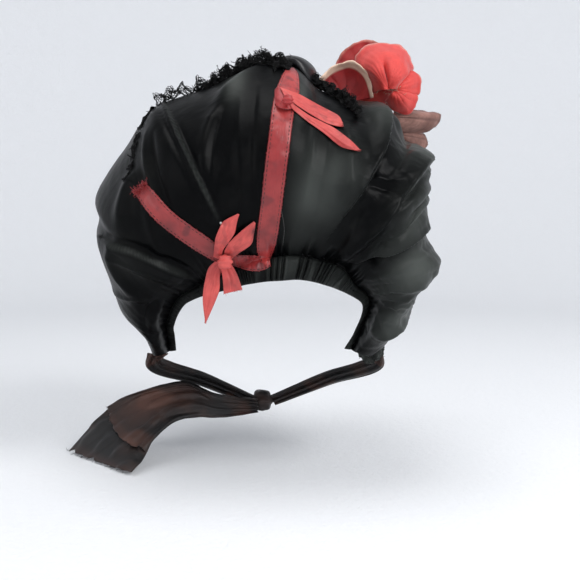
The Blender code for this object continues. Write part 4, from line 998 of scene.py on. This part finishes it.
def frill_grid(tree, route, width, ruffle, waves, lean, count, columns, flat=False):
    """Points of a ruffled band along a route on the crown."""
    line = smooth_line(route, count)
    base = crown_points(line[:, 0], line[:, 1])
    ahead = unit(crown_points(line[:, 0], line[:, 1] + 0.01)
                 - crown_points(line[:, 0], line[:, 1] - 0.01))
    beside = crown_points(line[:, 0] + 0.005, line[:, 1]) - crown_points(line[:, 0] - 0.005,
                                                                         line[:, 1])
    normal = unit(np.cross(beside, ahead))
    foot = base.copy()
    for i in range(count):
        start = base[i] + normal[i] * 0.02
        hit = tree.ray_cast(Vector(start), Vector(-normal[i]))[0]
        if hit is not None:
            foot[i] = np.array(hit) + normal[i] * SEAT
    rise = unit(normal * lean + ahead * (1 - lean))
    up = np.linspace(0, 1, columns)
    wave = np.sin(np.linspace(0, waves * 2 * math.pi, count)
                  + 1.5 * noise_at(foot, 40, 9))[:, None] * up[None]
    grid = (foot[:, None] + rise[:, None] * (width * up)[None, :, None]
            + normal[:, None] * ((0 if flat else ruffle) * (up[None] + wave))[..., None])
    if flat:
        for index in np.ndindex(grid.shape[:2]):
            start = grid[index] + normal[index[0]] * 0.02
            hit = tree.ray_cast(Vector(start), Vector(-normal[index[0]]))[0]
            if hit is not None:
                grid[index] = np.array(hit) + normal[index[0]] * SEAT
    return grid


def net_threads(grid, cell, scallop, hairs):
    """Threads of a lace band on a grid: foot, net, scalloped edge with picots, stray hairs."""
    count, columns = grid.shape[:2]
    long = np.linalg.norm(np.diff(grid[:, 0], axis=0), axis=1).sum()
    wide = np.linalg.norm(np.diff(grid[count // 2], axis=0), axis=1).sum()

    def at(u, v):
        i = np.clip(np.asarray(u) / long, 0, 1) * (count - 1)
        j = np.clip(np.asarray(v), 0, 1.25) * (columns - 1)
        a, b = np.clip(i.astype(int), 0, count - 2), np.clip(j.astype(int), 0, columns - 2)
        s, t = (i - a)[..., None], (j - b)[..., None]
        return ((grid[a, b] * (1 - s) + grid[a + 1, b] * s) * (1 - t)
                + (grid[a, b + 1] * (1 - s) + grid[a + 1, b + 1] * s) * t)

    # Foot threads, then a crossed net
    lines = []
    for v in (0.0, 0.06, 0.13):
        lines.append(at(np.linspace(0, long, 160), np.full(160, v)))
    for way in (1, -1):
        for k in range(int(long / cell) + 1):
            start = k * cell if way == 1 else k * cell + cell / 2
            v = np.linspace(0.1, 0.86, 9)
            u = start + way * (v - 0.1) * wide * 0.9 + 0.2 * cell * np.sin(v * 20 + k)
            lines.append(at(np.clip(u, 0, long), v))
    # Scallops with picots, then stray hairs
    for k in range(int(long / scallop)):
        angle = np.linspace(0, math.pi, 13)
        u = (k + 0.5) * scallop - np.cos(angle) * scallop / 2
        lines.append(at(u, 0.76 + 0.24 * np.sin(angle)))
        lines.append(at(u, 0.62 + 0.22 * np.sin(angle)))
        for m in range(5):
            turn = math.pi * (m + 0.5) / 5
            middle_u = (k + 0.5) * scallop - math.cos(turn) * scallop / 2
            middle_v = 0.80 + 0.24 * math.sin(turn)
            ring = np.linspace(-1.2, math.pi + 1.2, 9)
            lines.append(at(middle_u + 0.0007 * np.cos(ring),
                            middle_v + 0.0009 / wide * np.sin(ring)))
    for _ in range(hairs):
        u, v = RANDOM.uniform(0, long), RANDOM.uniform(0.3, 1.0)
        root = at(np.array(u), np.array(v))
        way = unit(at(np.array(u), np.array(1.0)) - at(np.array(u), np.array(0.0)))
        lines.append(wander(root, way, RANDOM.uniform(0.003, 0.010), 0.8, 7))
    return lines


def curls(grid, number, size):
    """Tiny curls of broken lace thread that sit over a band."""
    rows, columns = grid.shape[:2]
    lines = []
    for _ in range(number):
        at = grid[int(RANDOM.uniform(0, rows - 0.01)), int(RANDOM.uniform(0, columns - 0.01))]
        first = unit(np.array([RANDOM.gauss(0, 1) for _ in range(3)]))
        second = unit(np.cross(first, [0.3, 0.5, 0.8]))
        turn = np.linspace(0, RANDOM.uniform(2.5, 6.5), 8)[:, None]
        radius = size * RANDOM.uniform(0.4, 1.0)
        lines.append(at + radius * (first * np.cos(turn) + second * np.sin(turn)))
    return lines


def tangle(lines, size):
    """Lace threads drawn out of shape together, so that the band looks old and crushed."""
    points = np.concatenate(lines)
    shift = np.stack([noise_at(points, 210, seed) for seed in (51, 53, 55)], -1)
    shift += 0.6 * np.stack([noise_at(points, 80, seed) for seed in (57, 59, 61)], -1)
    moved = points + size * shift
    ends = np.cumsum([len(line) for line in lines])[:-1]
    return np.split(moved, ends)


def build_lace(tree):
    """Black lace: a ridge along the crest, a band down the left panel, a drop beside the ribbon
    and a bunch on the right."""
    ridge = frill_grid(tree, LACE_ROUTE, LACE_WIDTH * 0.45, LACE_RUFFLE, 9, 0.60, 260, 8)
    second = frill_grid(tree, LACE_ROUTE[2:], LACE_WIDTH * 0.60, -LACE_RUFFLE * 0.8, 5, 0.50, 200,
                        8)
    third = frill_grid(tree, LACE_ROUTE[2:], LACE_WIDTH * 0.75, LACE_RUFFLE * 0.8, 7, 0.20, 200, 8)
    fourth = frill_grid(tree, LACE_ROUTE[3:], LACE_WIDTH * 1.0, LACE_RUFFLE, 4, 0.28, 150, 8)
    flat = frill_grid(tree, LACE_BAND, LACE_WIDTH * 1.4, 0, 1, 0.0, 120, 8, flat=True)
    drop = frill_grid(tree, LACE_DROP, LACE_WIDTH * 0.7, LACE_RUFFLE * 0.5, 4, 0.25, 90, 8)
    lines = net_threads(flat, 0.0021, 0.0060, 30) + curls(flat, 260, 0.0008)
    for grid in (ridge, second, third, fourth, drop):
        lines += net_threads(grid, LACE_CELL, LACE_SCALLOP, 50)
    for grid, number in ((ridge, 260), (second, 700), (third, 620), (fourth, 620), (drop, 160)):
        lines += curls(grid, number, 0.0012)
    edging = add_threads("lace_net", tangle(lines, 0.0030), LACE_THREAD, LACE, 3)
    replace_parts(edging, "lace_edging")
    lines = []
    for k in range(5):
        bunch = frill_grid(tree, CLUMP_ROUTE, LACE_WIDTH * (1.2 - 0.12 * k),
                           LACE_RUFFLE * (1.2 - 0.5 * k), 5 + k, 0.08 + 0.16 * k, 140, 8)
        lines += net_threads(bunch, LACE_CELL, LACE_SCALLOP, 40) + curls(bunch, 270, 0.0012)
    clump = add_threads("lace_bunch_net", tangle(lines, 0.0030), LACE_THREAD, LACE,
                        3)
    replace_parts(clump, "lace_bunch")


def build_crest_loop():
    """Satin loop that stands on the crest, with a front and a back face."""
    rows, columns = 90, 25
    flat = edged_flat((CREST_ACROSS, CREST_UP), CREST_REACH, CREST_EDGES, rows, columns)
    v = np.linspace(0, 1, rows)[:, None]
    u = np.linspace(0, 1, columns)[None]
    swell = 0.008 * np.sin(math.pi * u) * np.sin(math.pi * v)
    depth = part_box("crest_loop")[0][1] - 0.016 + 0.020 * (1 - u) ** 2 - swell + 0.012 * v
    front = np.stack([flat[..., 0], depth, flat[..., 1]], -1)
    front[..., 1] += 0.0010 * np.sin(9 * u + 5 * v)
    behind = front[:, ::-1].copy()
    behind[..., 1] = 2 * depth[:, :1] - depth[:, ::-1] + 0.004
    satin = add_cloth("crest_loop_satin", np.concatenate([behind, front[:, 1:]], 1), SATIN)
    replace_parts(satin, "crest_loop")
    return satin


def build_ribbons():
    """Coral ribbons on the back, with painted shade on their satin, dark stitching along their
    edges and a frayed end.
    """
    grids, pieces, dark, frays, edges = [], {}, [], [], []
    for name, rows, count in (("ribbon_diagonal", RIBBON_DIAGONAL, 110),
                              ("ribbon_turn", RIBBON_TURN, 50),
                              ("ribbon_vertical", RIBBON_VERTICAL, 230)):
        widths = [row.width * RIBBON_WIDTH for row in rows]
        flat = strip_flat([crown_place(row) for row in rows], widths, count, RIBBON_COLUMNS)
        grid = lay(tree_of(grids + [CROWN_GRID, CASING_GRID]), flat, rounds=10)
        u = np.linspace(-1, 1, RIBBON_COLUMNS)
        grid[..., 1] -= 0.0006 * np.abs(noise_at(grid * np.array([1, 1, 1.6]), 75, 11))
        grid[..., 1] -= 0.00035 * noise_at(grid, 200, 12) + 0.0003 * (1 - u * u)
        along = np.linspace(0, 1, count)[:, None]
        # Painted shade on the satin: darker patches, darker towards the middle of the vertical
        # ribbon and towards the ends of the others, with slightly darker edges
        mark = 0.16 * ease_step(0.86, 1.0, np.abs(u)) + 0.45 * ease_step(
            0.25, 0.6, noise_at(grid, 130, 13))
        mark = mark + (0.35 * np.sin(math.pi * along) if name == "ribbon_vertical" else 0.30
                       + 0.35 * along)
        piece = add_cloth(name + "_cloth", grid, RIBBON, 0.0005,
                          values=np.clip(mark, 0, 0.9))
        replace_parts(piece, name)
        pieces[name] = piece
        grids.append(grid)
        lifted = grid + np.array([0, -0.0004, 0])
        dark += stitches(lifted, 2, 0.0) + stitches(lifted, -3, 0.0)
        for column, side in ((0, -1), (-1, 1)):
            for _ in range(int(1.3 * count)):
                root = grid[int(RANDOM.uniform(0, count - 0.01)), column]
                way = (side * 0.8, -0.6, RANDOM.uniform(-0.6, 0.6))
                edges.append(wander(root, way, RANDOM.uniform(0.0004, 0.0012), 0.6, 4))
    for _ in range(90):
        root = grids[0][int(RANDOM.uniform(0, 4)), int(RANDOM.uniform(0, RIBBON_COLUMNS - 0.01))]
        way = (-0.75, -0.20, RANDOM.uniform(0.0, 0.8))
        frays.append(wander(root, way, RANDOM.uniform(0.003, 0.009), 0.5))
    add_threads("ribbon_stitches", dark, STITCH, THREAD_DARK, 5)
    add_threads("ribbon_frays", frays + edges, THREAD, SHADED_CORAL, 3)
    return grids, pieces


def build_bow(name, under, knot, parts):
    """Bow: flat folded loops that come back to the knot, and creased tails with cut ends."""
    middle = crown_place(knot)
    grids, pieces, frays = [], {}, []
    count, columns = 64, RIBBON_COLUMNS
    u = np.linspace(-1, 1, columns)[None]
    v = np.linspace(0, 1, count)[:, None]
    for part, rows in parts.items():
        flat = edged_flat(middle, BOW_REACH, rows, count, columns)
        low = lay(tree_of(under + grids), flat, name == "bow_lower" and "tail" in part, 20)
        crease = 0.0011 * np.exp(-((u - 0.30 * np.sin(3 * v)) / 0.20) ** 2) * np.sin(math.pi * v)
        wrinkle = 0.0005 * noise_at(low, 110, 15) + crease
        if "loop" in part:
            high = low.copy()
            high[..., 1] -= LOOP_PUFF * np.sin(math.pi * v ** 0.7) * (1 - 0.25 * u * u) + 0.0007
            high[..., 1] -= wrinkle
            grid = np.concatenate([high, low[::-1][1:]])
            front = high
        else:
            grid = low.copy()
            grid[..., 1] -= 0.0006 + wrinkle + 0.0030 * v ** 2 * (0.5 + 0.5 * np.sin(2 * u + 1))
            front = grid
            for _ in range(14):
                root = grid[-1][int(RANDOM.uniform(0, columns - 0.01))]
                way = unit(grid[-1][10] - grid[-6][10])
                frays.append(wander(root, way, RANDOM.uniform(0.0008, 0.0025), 0.5, 6))
        across = np.linspace(-1, 1, columns)
        mark = ease_step(0.88, 1.0, np.abs(across)) * 0.25 + 0.35 * ease_step(
            0.25, 0.6, noise_at(grid, 190, 17))
        if (name, part) == ("bow_lower", "loop_right"):
            stain = np.linalg.norm(grid - front[int(0.8 * count), -2], axis=-1)
            mark = mark + np.exp(-(stain / 0.0032) ** 2)
        # The upper bow's loop takes the darker, shaded copy of the coral satin as painted shade
        material = SHADED_CORAL if part == "loop" else CORAL
        piece = add_cloth(name + "_" + part + "_cloth", grid, material, 0.0004,
                          values=np.clip(mark, 0, 1))
        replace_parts(piece, name + "_" + part)
        pieces[part] = piece
        grids.append(front)
    upper = name == "bow_upper"
    add_knot(name + "_knot", SHADED_CORAL if upper else CORAL, 5, 0.78 if upper else 1.04)
    add_threads(name + "_frays", frays, THREAD * 0.8, CORAL, 3)
    return pieces


def add_knot(node, material, ridges, scale=1.04):
    """Wrapped knot of gathered cloth where the part has its plain one."""
    low, high = (np.array(corner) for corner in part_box(node))
    middle, half = (low + high) / 2, (high - low) / 2
    around = np.linspace(0, 2 * math.pi, 49)[:-1]
    rise = np.linspace(-math.pi / 2 + 0.12, math.pi / 2 - 0.12, 25)
    lon, lat = np.meshgrid(around, rise, indexing="ij")
    fold = 1 + 0.10 * np.cos(ridges * lat * 1.6 + 0.8 * np.sin(lon)) * np.cos(lat)
    ball = np.stack([np.cos(lon) * np.cos(lat), np.sin(lon) * np.cos(lat), np.sin(lat)], -1)
    wobble = 1 + 0.07 * noise_at(ball * 0.01, 220, 19)
    grid = middle + ball * half * (fold * wobble)[..., None] * scale
    grid = np.concatenate([grid, grid[:1]])
    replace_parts(add_cloth(node + "_wrap", grid, material), node)


def direction(turn, tilt):
    """Ways from the rose's middle, by angles in degrees."""
    turn, tilt = np.broadcast_arrays(np.radians(turn), np.radians(tilt))
    return np.stack([np.cos(turn) * np.cos(tilt), np.sin(turn) * np.cos(tilt), np.sin(tilt)], -1)


def petal_radius(layer, share):
    """Radius of a petal's layer, which flares towards its lip."""
    step = PETAL_WALL + PETAL_GAP
    heart = ROSE_RADIUS - PETAL_WALL - LAYERS * step - ROSE_FLARE
    return heart + step * layer + ROSE_FLARE * layer / LAYERS * share


def lobe_grid(lobe, rows=73, columns=37):
    """Cupped petal or leaf that fans out from its base to its outline, with the shares of its run
    from base to lip and from side to side."""
    outline = smooth_line(lobe.outline, rows)
    base = np.array(lobe.base)
    t = np.linspace(0, 1, columns)[None]
    s = np.linspace(-1, 1, rows)[:, None]
    flat = base + (outline[:, None] - base) * t[..., None]
    middle = np.array(ROSE_MIDDLE)
    points = np.stack([middle[0] + flat[..., 0] * ROSE_HALF,
                       lobe.near + (lobe.far - lobe.near) * (t ** 2 + 0 * s),
                       middle[2] + flat[..., 1] * ROSE_HALF], -1)
    points[..., 1] -= lobe.cup * np.sin(math.pi * t ** 0.8) * (1 - 0.35 * s * s)
    lip = ease_step(0.86, 1.0, t)
    points[..., 1] -= lobe.roll * lip * (0.8 + 0.2 * np.sin(7 * s + lobe.near * 900))
    if lobe.ribs:
        ribs = np.abs(np.sin(math.pi * lobe.ribs * (0.5 * s + 0.02 * np.sin(9 * t)))) ** 0.8
        points[..., 1] -= 0.0007 * ribs * ease_step(0.10, 0.45, t) * (1 - lip)
    points[..., 1] -= 0.0016 * noise_at(points, 75, 37 + lobe.ribs)
    points[..., 1] += 0.0012 * np.abs(noise_at(points * np.array([1, 0, 0.6]), 160, 45)) * t
    ragged = np.stack([noise_at(points, 190, seed) for seed in (63, 65, 67)], -1)
    points += 0.0013 * ragged * lip[..., None]
    if lobe.name == "big":
        fold = np.exp(-((s + 0.02) / 0.07) ** 2) * np.exp(-((t - 0.34) / 0.22) ** 2)
        points[..., 1] += 0.0085 * fold
    return points, t, s


def build_rose():
    """Silk rose seen from beneath: ribbed petals that fan out from its base, one of them turned
    over with its cream edge, and plain petals behind them round a rolled heart."""
    low, high = (np.array(corner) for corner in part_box("rose_heart"))
    middle = (low + high) / 2 + np.array([0, 0.004, -0.007])
    pieces = []
    for lobe in LOBES:
        grid, t, s = lobe_grid(lobe)
        band = 0.84 + 0.07 * s ** 2 if lobe.cream == 1.0 else 0.95
        edge = ease_step(band, band + 0.04, t) * lobe.cream + 0 * s
        # The left cup and the petal behind the crest take the shaded copy of the rose silk as
        # painted shade
        material = ROSE_SHADED if lobe.name in ("left", "crest") else ROSE
        piece = add_cloth("petal_" + lobe.name + "_silk", grid, material, 0.0007,
                          values=edge)
        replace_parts(piece, "petal_" + lobe.name)
        pieces.append(piece)
    for petal in BACK_PETALS:
        side, share = np.meshgrid(np.linspace(-1, 1, 57), np.linspace(0, 1, 41), indexing="ij")
        spread = 0.45 + 0.55 * np.sin(math.pi * np.minimum(1, 0.75 * share + 0.12))
        lip = 1 - (0.22 * side * side + 0.05 * np.exp(-((side - 0.15) / 0.22) ** 2)) * share
        tilt = ROOT_TILT + (petal.top - ROOT_TILT) * share * lip
        rise = (tilt - ROOT_TILT) / (90 - ROOT_TILT)
        radius = petal_radius(petal.layer, rise) + PETAL_WALL / 2
        radius = radius + 0.0040 * ease_step(0.72, 1.0, share) ** 2 * (0.6 + 0.4 * np.sin(
            3 * side + petal.turn))
        radius += 0.0009 * np.sin(4.5 * side + 0.6 * petal.turn) * share
        grid = middle + BACK_SCALE * direction(petal.turn + petal.half_width * side * spread,
                                               tilt) * radius[..., None]
        edge = np.maximum(ease_step(0.92, 1.0, share), ease_step(0.94, 1.0, np.abs(side)))
        piece = add_cloth("petal_" + petal.name + "_silk", grid, ROSE, 0.0006,
                          values=edge * petal.cream)
        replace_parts(piece, "petal_" + petal.name)
        pieces.append(piece)
    wound = 980
    turn, share = np.meshgrid(np.linspace(0, wound, 240), np.linspace(0, 1, 26), indexing="ij")
    radius = petal_radius(0, 0) * (0.16 + 0.80 * turn / wound) * (0.75 + 0.25 * np.sin(
        math.pi * share))
    radius += 0.0006 * np.sin(np.radians(turn) * 3.3) * share
    tilt = -70 + (150 + 4 * np.sin(np.radians(turn) * 1.7)) * share
    grid = middle + BACK_SCALE * direction(turn, tilt) * radius[..., None]
    heart = add_cloth("rose_heart_roll", grid, ROSE, 0.0005,
                      values=ease_step(0.93, 1.0, share) * 0.5)
    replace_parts(heart, "rose_heart")
    pieces.append(heart)
    lines = []
    base = np.array([ROSE_MIDDLE[0] + 0.44 * ROSE_HALF, 0.006, ROSE_MIDDLE[2] - 0.36 * ROSE_HALF])
    for _ in range(16):
        root = base + np.array([RANDOM.uniform(-0.010, 0.010), 0, RANDOM.uniform(-0.003, 0.005)])
        way = (RANDOM.uniform(-1, 1), -0.5, RANDOM.uniform(-0.5, 0.8))
        lines.append(wander(root, way, RANDOM.uniform(0.004, 0.010), 0.5))
    add_threads("rose_threads", lines, THREAD * 0.9, CREAM_THREAD, 3)
    return pieces


def build_leaves():
    """Two dusty cloth leaves with veins and soft, frayed edges."""
    pieces, lines = [], []
    for lobe in LEAVES:
        grid, t, s = lobe_grid(lobe)
        vein = np.exp(-(s / 0.05) ** 2) * (t > 0.05)
        branch = np.exp(-((np.mod(t * 6 - np.abs(s) * 1.5, 1) - 0.5) / 0.10) ** 2) * (
            1 - np.exp(-(s / 0.12) ** 2))
        grid[..., 1] += 0.0008 * vein + 0.0004 * branch
        mark = np.clip(0.5 * vein + 0.25 * branch + 0.5 * ease_step(0.93, 1, t), 0, 1)
        piece = add_cloth(lobe.name + "_cloth", grid, LEAF, 0.0005, values=mark)
        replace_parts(piece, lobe.name)
        pieces.append(piece)
        for _ in range(70):
            i = int(RANDOM.uniform(4, len(grid) - 4))
            edge = grid[i, -1]
            lines.append(wander(edge, edge - grid[i, 20], RANDOM.uniform(0.0006, 0.0016), 0.6, 4))
    add_threads("leaf_frays", lines, THREAD * 0.6, LEAF, 3)
    return pieces


def build_band(name, turn, side, knot):
    """Crushed silk tie from one corner of the bonnet to the knot under the chin."""
    corner = rim_points(np.array(turn))
    seat = brim_points(np.array(turn), 0)
    start = np.array([(corner[0] + seat[0]) / 2, corner[1], corner[2] - 2 * CLEARANCE])
    end = knot + np.array([side * (CHIN_KNOT_SIZE / 2), 0, 0])
    places = [start + (end - start) * row.along
              + np.array([side * row.out, row.forward, -row.down]) * BAND_LOOP for row in BAND]
    count, columns = 150, 33
    path = smooth_line(places, count)
    share = np.linspace(0, 1, count)
    twist = np.minimum(1.0, share / 0.35)
    across = unit(np.stack([1 - 0.48 * twist, 0 * twist, -side * 0.78 * twist], -1))
    half = TIE_WIDTH / 2 * (1 - 0.45 * share)
    u = np.linspace(-1, 1, columns)
    cup = half[:, None] * 0.35 * (1 - u * u)[None] * twist[:, None]
    pleat = 0.0014 * np.sin(9 * u[None] + 3 * share[:, None] + 2 * np.sin(5 * share)[:, None])
    grid = path[:, None] + across[:, None] * (half[:, None] * u[None])[..., None]
    grid[..., 1] -= cup + pleat + 0.0012
    grid += 0.0010 * noise_at(grid, 70, 23)[..., None] * np.array([0, -1, 0.3])
    mark = np.clip(0.5 * ease_step(0.1, 0.5, noise_at(grid, 60, 25)) + 0.4 * (share < 0.2)[:, None],
                   0, 1)
    piece = add_cloth(name + "_silk", grid, TIE, 0.0007, values=mark)
    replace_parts(piece, name)
    return grid, piece


def tail_points(knot, share, width, lift):
    """Points of a tie tail at shares of its length and width, raised by lift."""
    def at(s, w):
        away, forward, rise, sa, sf, sr = (curve(TAIL, name, s) for name in Tail._fields[1:])
        middle = knot + np.stack([away, forward, rise], -1) * TAIL_LENGTH
        sag = 0.05 * np.sin(math.pi * s) * np.sin(2 * math.pi * w)
        point = middle + np.stack([sa, sf, sr], -1) * (TAIL_WIDTH * (w - 0.5))[..., None]
        return point + np.array([0, 1, 0.3]) * (TAIL_WIDTH * sag)[..., None]

    point = at(share, width)
    along = at(np.minimum(share + 0.02, 1), width) - at(np.maximum(share - 0.02, 0), width)
    across = at(share, np.minimum(width + 0.05, 1)) - at(share, np.maximum(width - 0.05, 0))
    normal = unit(np.cross(along, across))
    flip = ~((normal[..., 1] < 0) | (normal[..., 2] > 0.9))
    normal = np.where(flip[..., None], -normal, normal)
    return point + normal * lift[..., None], normal


def build_ties():
    """Bands to the chin knot and the two crumpled tails with their frayed ends."""
    knot = np.array([-0.004, KNOT_FORWARD, -KNOT_DROP])
    pieces = {}
    for name, turn, side in (("chin_band_left", 0.0, -1), ("chin_band_right", 1.0, 1)):
        pieces[name] = build_band(name, turn, side, knot)[1]
    add_knot("chin_knot", TIE, 4)
    lines = []
    # Wide tails with ragged ends, the upper one shorter than the lower
    for name, length, lift in (("tie_tail_lower", 1.0, 0.0004),
                               ("tie_tail_upper", UPPER_TAIL_SHARE, TAIL_LAYERS + 0.0012)):
        count, columns = 112, 51
        share, width = np.meshgrid(np.linspace(0, length, count), np.linspace(0, 1, columns),
                                   indexing="ij")
        ragged = 0.022 * noise_at(np.stack([width, 0 * width, 0 * width + length], -1), 9, 27)
        ragged += 0.010 * noise_at(np.stack([width, 0 * width, 0 * width + length], -1), 40, 28)
        if name == "tie_tail_upper":
            ragged += 0.05 * np.sin(math.pi * width) - 0.03
        share = share + ragged * ease_step(0.8 * length, length, share)
        share = np.clip(share, 0, 1)
        plain, _ = tail_points(knot, share, width, np.full(share.shape, lift))
        pleat = 0.0011 * np.sin(26 * width + 5 * share + 1.5 * np.sin(7 * share))
        soft = 0.0026 * noise_at(plain, 42, 29) + 0.0012 * noise_at(plain, 110, 31)
        room = np.clip(pleat + soft, -0.0003, None) if name == "tie_tail_lower" else pleat + soft
        grid, _ = tail_points(knot, share, width, lift + np.clip(room, -0.0008, 0.0060))
        grid[..., 2] = np.maximum(grid[..., 2], 0.0004 + lift * 0.8 - TABLE_DROP)
        brown = 0.5 if name == "tie_tail_upper" else 0.15
        mark = brown * ease_step(0.1, 0.5, noise_at(grid, 36, 33)) + 0.25 * ease_step(
            0.94 * length, length, share)
        if name == "tie_tail_upper":
            mark += 0.7 * np.exp(-((share - 0.55) / 0.22) ** 2 - ((width - 0.35) / 0.30) ** 2)
        mark = np.clip(mark, 0, 1)
        piece = add_cloth(name + "_silk", grid, TIE, 0.0005, values=mark)
        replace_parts(piece, name)
        pieces[name] = piece
        for _ in range(60):
            root = grid[-1][int(RANDOM.uniform(0, columns - 0.01))]
            way = unit(grid[-1][25] - grid[-10][25]) * np.array([1, 1, 0.2])
            line = wander(root, way, RANDOM.uniform(0.0015, 0.006), 0.4, 7)
            line[:, 2] = np.maximum(line[:, 2], 0.0003 - TABLE_DROP)
            lines.append(line)
    # Threads that hang from the bands' upper ends
    for side, place in ((1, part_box("chin_band_right")), (-1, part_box("chin_band_left"))):
        for _ in range(12):
            root = np.array([side * RANDOM.uniform(0.086, 0.094), 0.004, place[1][2] - 0.003])
            lines.append(wander(root, (0.2 * side, -0.3, -1), RANDOM.uniform(0.004, 0.012), 0.5))
    add_threads("tie_frays", lines, THREAD * 0.8, TIE, 3)
    return pieces


def build_corner_bunch():
    """Bunched, fraying end of the silk at the right lower corner."""
    lon, lat = np.meshgrid(np.linspace(0, 2 * math.pi, 97), np.linspace(-1.45, 1.45, 49),
                           indexing="ij")
    ball = np.stack([np.cos(lon) * np.cos(lat), np.sin(lon) * np.cos(lat), np.sin(lat)], -1)
    ridges = 1 + 0.34 * (1 - 2.2 * np.abs(noise_at(ball * np.array([1, 1, 0.5]), 2.1, 71)))
    ridges += 0.14 * noise_at(ball, 6, 73)
    grid = np.array(BUNCH_MIDDLE) + ball * np.array(BUNCH_HALF) * ridges[..., None]
    piece = add_cloth("corner_bunch", grid, SILK,
                      values=np.clip(0.5 + 0.5 * noise_at(ball, 3, 75), 0, 1))
    lines = []
    for _ in range(40):
        root = grid[int(RANDOM.uniform(0, 96.99)), int(RANDOM.uniform(0, 14))]
        way = (RANDOM.uniform(-0.4, 0.5), -0.2, -1)
        lines.append(wander(root, way, RANDOM.uniform(0.001, 0.007), 0.6, 7))
    add_threads("corner_frays", lines, THREAD * 0.9, LACE, 3)
    return piece


def build_loose_threads():
    """Loose threads of the old stitching that hang over the back."""
    lines = []
    for route in LOOSE_THREADS:
        flat = smooth_line([crown_place(Strip(*place, 0)) for place in route], 40)
        depth = depth_at(CROWN_TREE, flat[:, 0], flat[:, 1], np.full(40, -0.09))
        lines.append(np.stack([flat[:, 0], depth - 0.0009, flat[:, 1]], -1))
    add_threads("loose_threads", lines, THREAD * 0.8, THREAD_GREY, 5)


def build_pin():
    """Small round head of the pin that holds the end of the left pleat."""
    across, up = crown_place(Strip(*PIN_PLACE, 0))
    hit = CROWN_TREE.ray_cast(Vector((across, -2 * CROWN_DEPTH, up)), Vector((0, 1, 0)))[0]
    lon, lat = np.meshgrid(np.linspace(0, 2 * math.pi, 25), np.linspace(-1.57, 1.57, 13),
                           indexing="ij")
    ball = np.stack([np.cos(lon) * np.cos(lat), np.sin(lon) * np.cos(lat), np.sin(lat)], -1)
    add_cloth("pin_head", np.array(hit) + np.array([0, -0.4 * PIN_RADIUS, 0])
              + ball * PIN_RADIUS, PEARL)


def build_stage():
    """Round pale floor that sweeps up on all sides, camera at the photo's angle, and soft studio
    light."""
    floor_z = -TABLE_DROP - FLOOR_GAP
    bend = [(FLOOR_REACH + FLOOR_SWEEP * math.sin(a), FLOOR_SWEEP - FLOOR_SWEEP * math.cos(a))
            for a in np.linspace(0, math.pi / 2, 17)]
    profile = [(0.00001, 0.0), (0.5, 0.0), (1.2, 0.0)] + bend
    profile += [(FLOOR_REACH + FLOOR_SWEEP, FLOOR_WALL)]
    around = np.linspace(0, 2 * math.pi, 97)[:-1]
    points = np.array([[(r * math.cos(a), r * math.sin(a), floor_z + z) for a in around]
                       for r, z in profile])
    mesh = bpy.data.meshes.new("floor")
    mesh.from_pydata(points.reshape(-1, 3).tolist(), [],
                     grid_faces(len(profile), len(around), closed=True).tolist())
    mesh.shade_smooth()
    material, tree, shader = new_material("pale_floor")
    shader.inputs["Base Color"].default_value = FLOOR_COLOUR
    shader.inputs["Roughness"].default_value = 0.95
    place = add_node(tree, "ShaderNodeTexCoord")
    nap = add_node(tree, "ShaderNodeTexNoise", Scale=170.0, Detail=4.0, Roughness=0.7)
    tree.links.new(place.outputs["Object"], nap.inputs["Vector"])
    relief = add_node(tree, "ShaderNodeBump", Strength=0.55, Distance=0.002)
    tree.links.new(nap.outputs["Fac"], relief.inputs["Height"])
    tree.links.new(relief.outputs[0], shader.inputs["Normal"])
    mesh.materials.append(material)
    floor = bpy.data.objects.new("floor", mesh)
    bpy.context.scene.collection.objects.link(floor)

    camera = bpy.data.cameras.new("camera")
    camera.sensor_width = SENSOR
    camera.lens = SENSOR * PHOTO_FOCAL / PHOTO_SIZE
    camera.clip_end = 20
    view = bpy.data.objects.new("camera", camera)
    view.location = CAMERA_PLACE
    view.rotation_euler = (math.radians(CAMERA_TILT), 0, 0)
    bpy.context.scene.collection.objects.link(view)
    bpy.context.scene.camera = view

    for row in LIGHTS:
        light = bpy.data.lights.new(row.name, "AREA")
        light.size = row.size
        light.energy = row.power
        lamp = bpy.data.objects.new(row.name, light)
        lamp.location = row.place
        aim = Vector(row.aim) - Vector(row.place)
        lamp.rotation_euler = aim.to_track_quat("-Z", "Y").to_euler()
        bpy.context.scene.collection.objects.link(lamp)
    world = bpy.data.worlds.new("studio")
    world.use_nodes = True
    sky = world.node_tree.nodes["Background"]
    sky.inputs["Color"].default_value = SKY_COLOUR
    sky.inputs["Strength"].default_value = SKY_STRENGTH
    bpy.context.scene.world = world
    bpy.context.scene.view_settings.view_transform = "Standard"


CROWN_GRID, CROWN_PIECE = build_crown()
CASING_GRID = build_casing()
BRIM_GRID, BRIM_PIECE, LINING_PIECE = build_brim()
CROWN_TREE = tree_of([CROWN_GRID, BRIM_GRID])
build_lace(CROWN_TREE)
CREST_PIECE = build_crest_loop()
RIBBON_GRIDS, RIBBON_PIECES = build_ribbons()
UNDER = [CROWN_GRID, CASING_GRID] + RIBBON_GRIDS
LOWER_PIECES = build_bow("bow_lower", UNDER, BOW_LOWER_KNOT, BOW_LOWER)
UPPER_PIECES = build_bow("bow_upper", UNDER, BOW_UPPER_KNOT, BOW_UPPER)
LEAF_PIECES = build_leaves()
ROSE_PIECES = build_rose()
TIE_PIECES = build_ties()
BUNCH_PIECE = build_corner_bunch()
build_loose_threads()
build_pin()

build_stage()
bpy.context.view_layer.update()
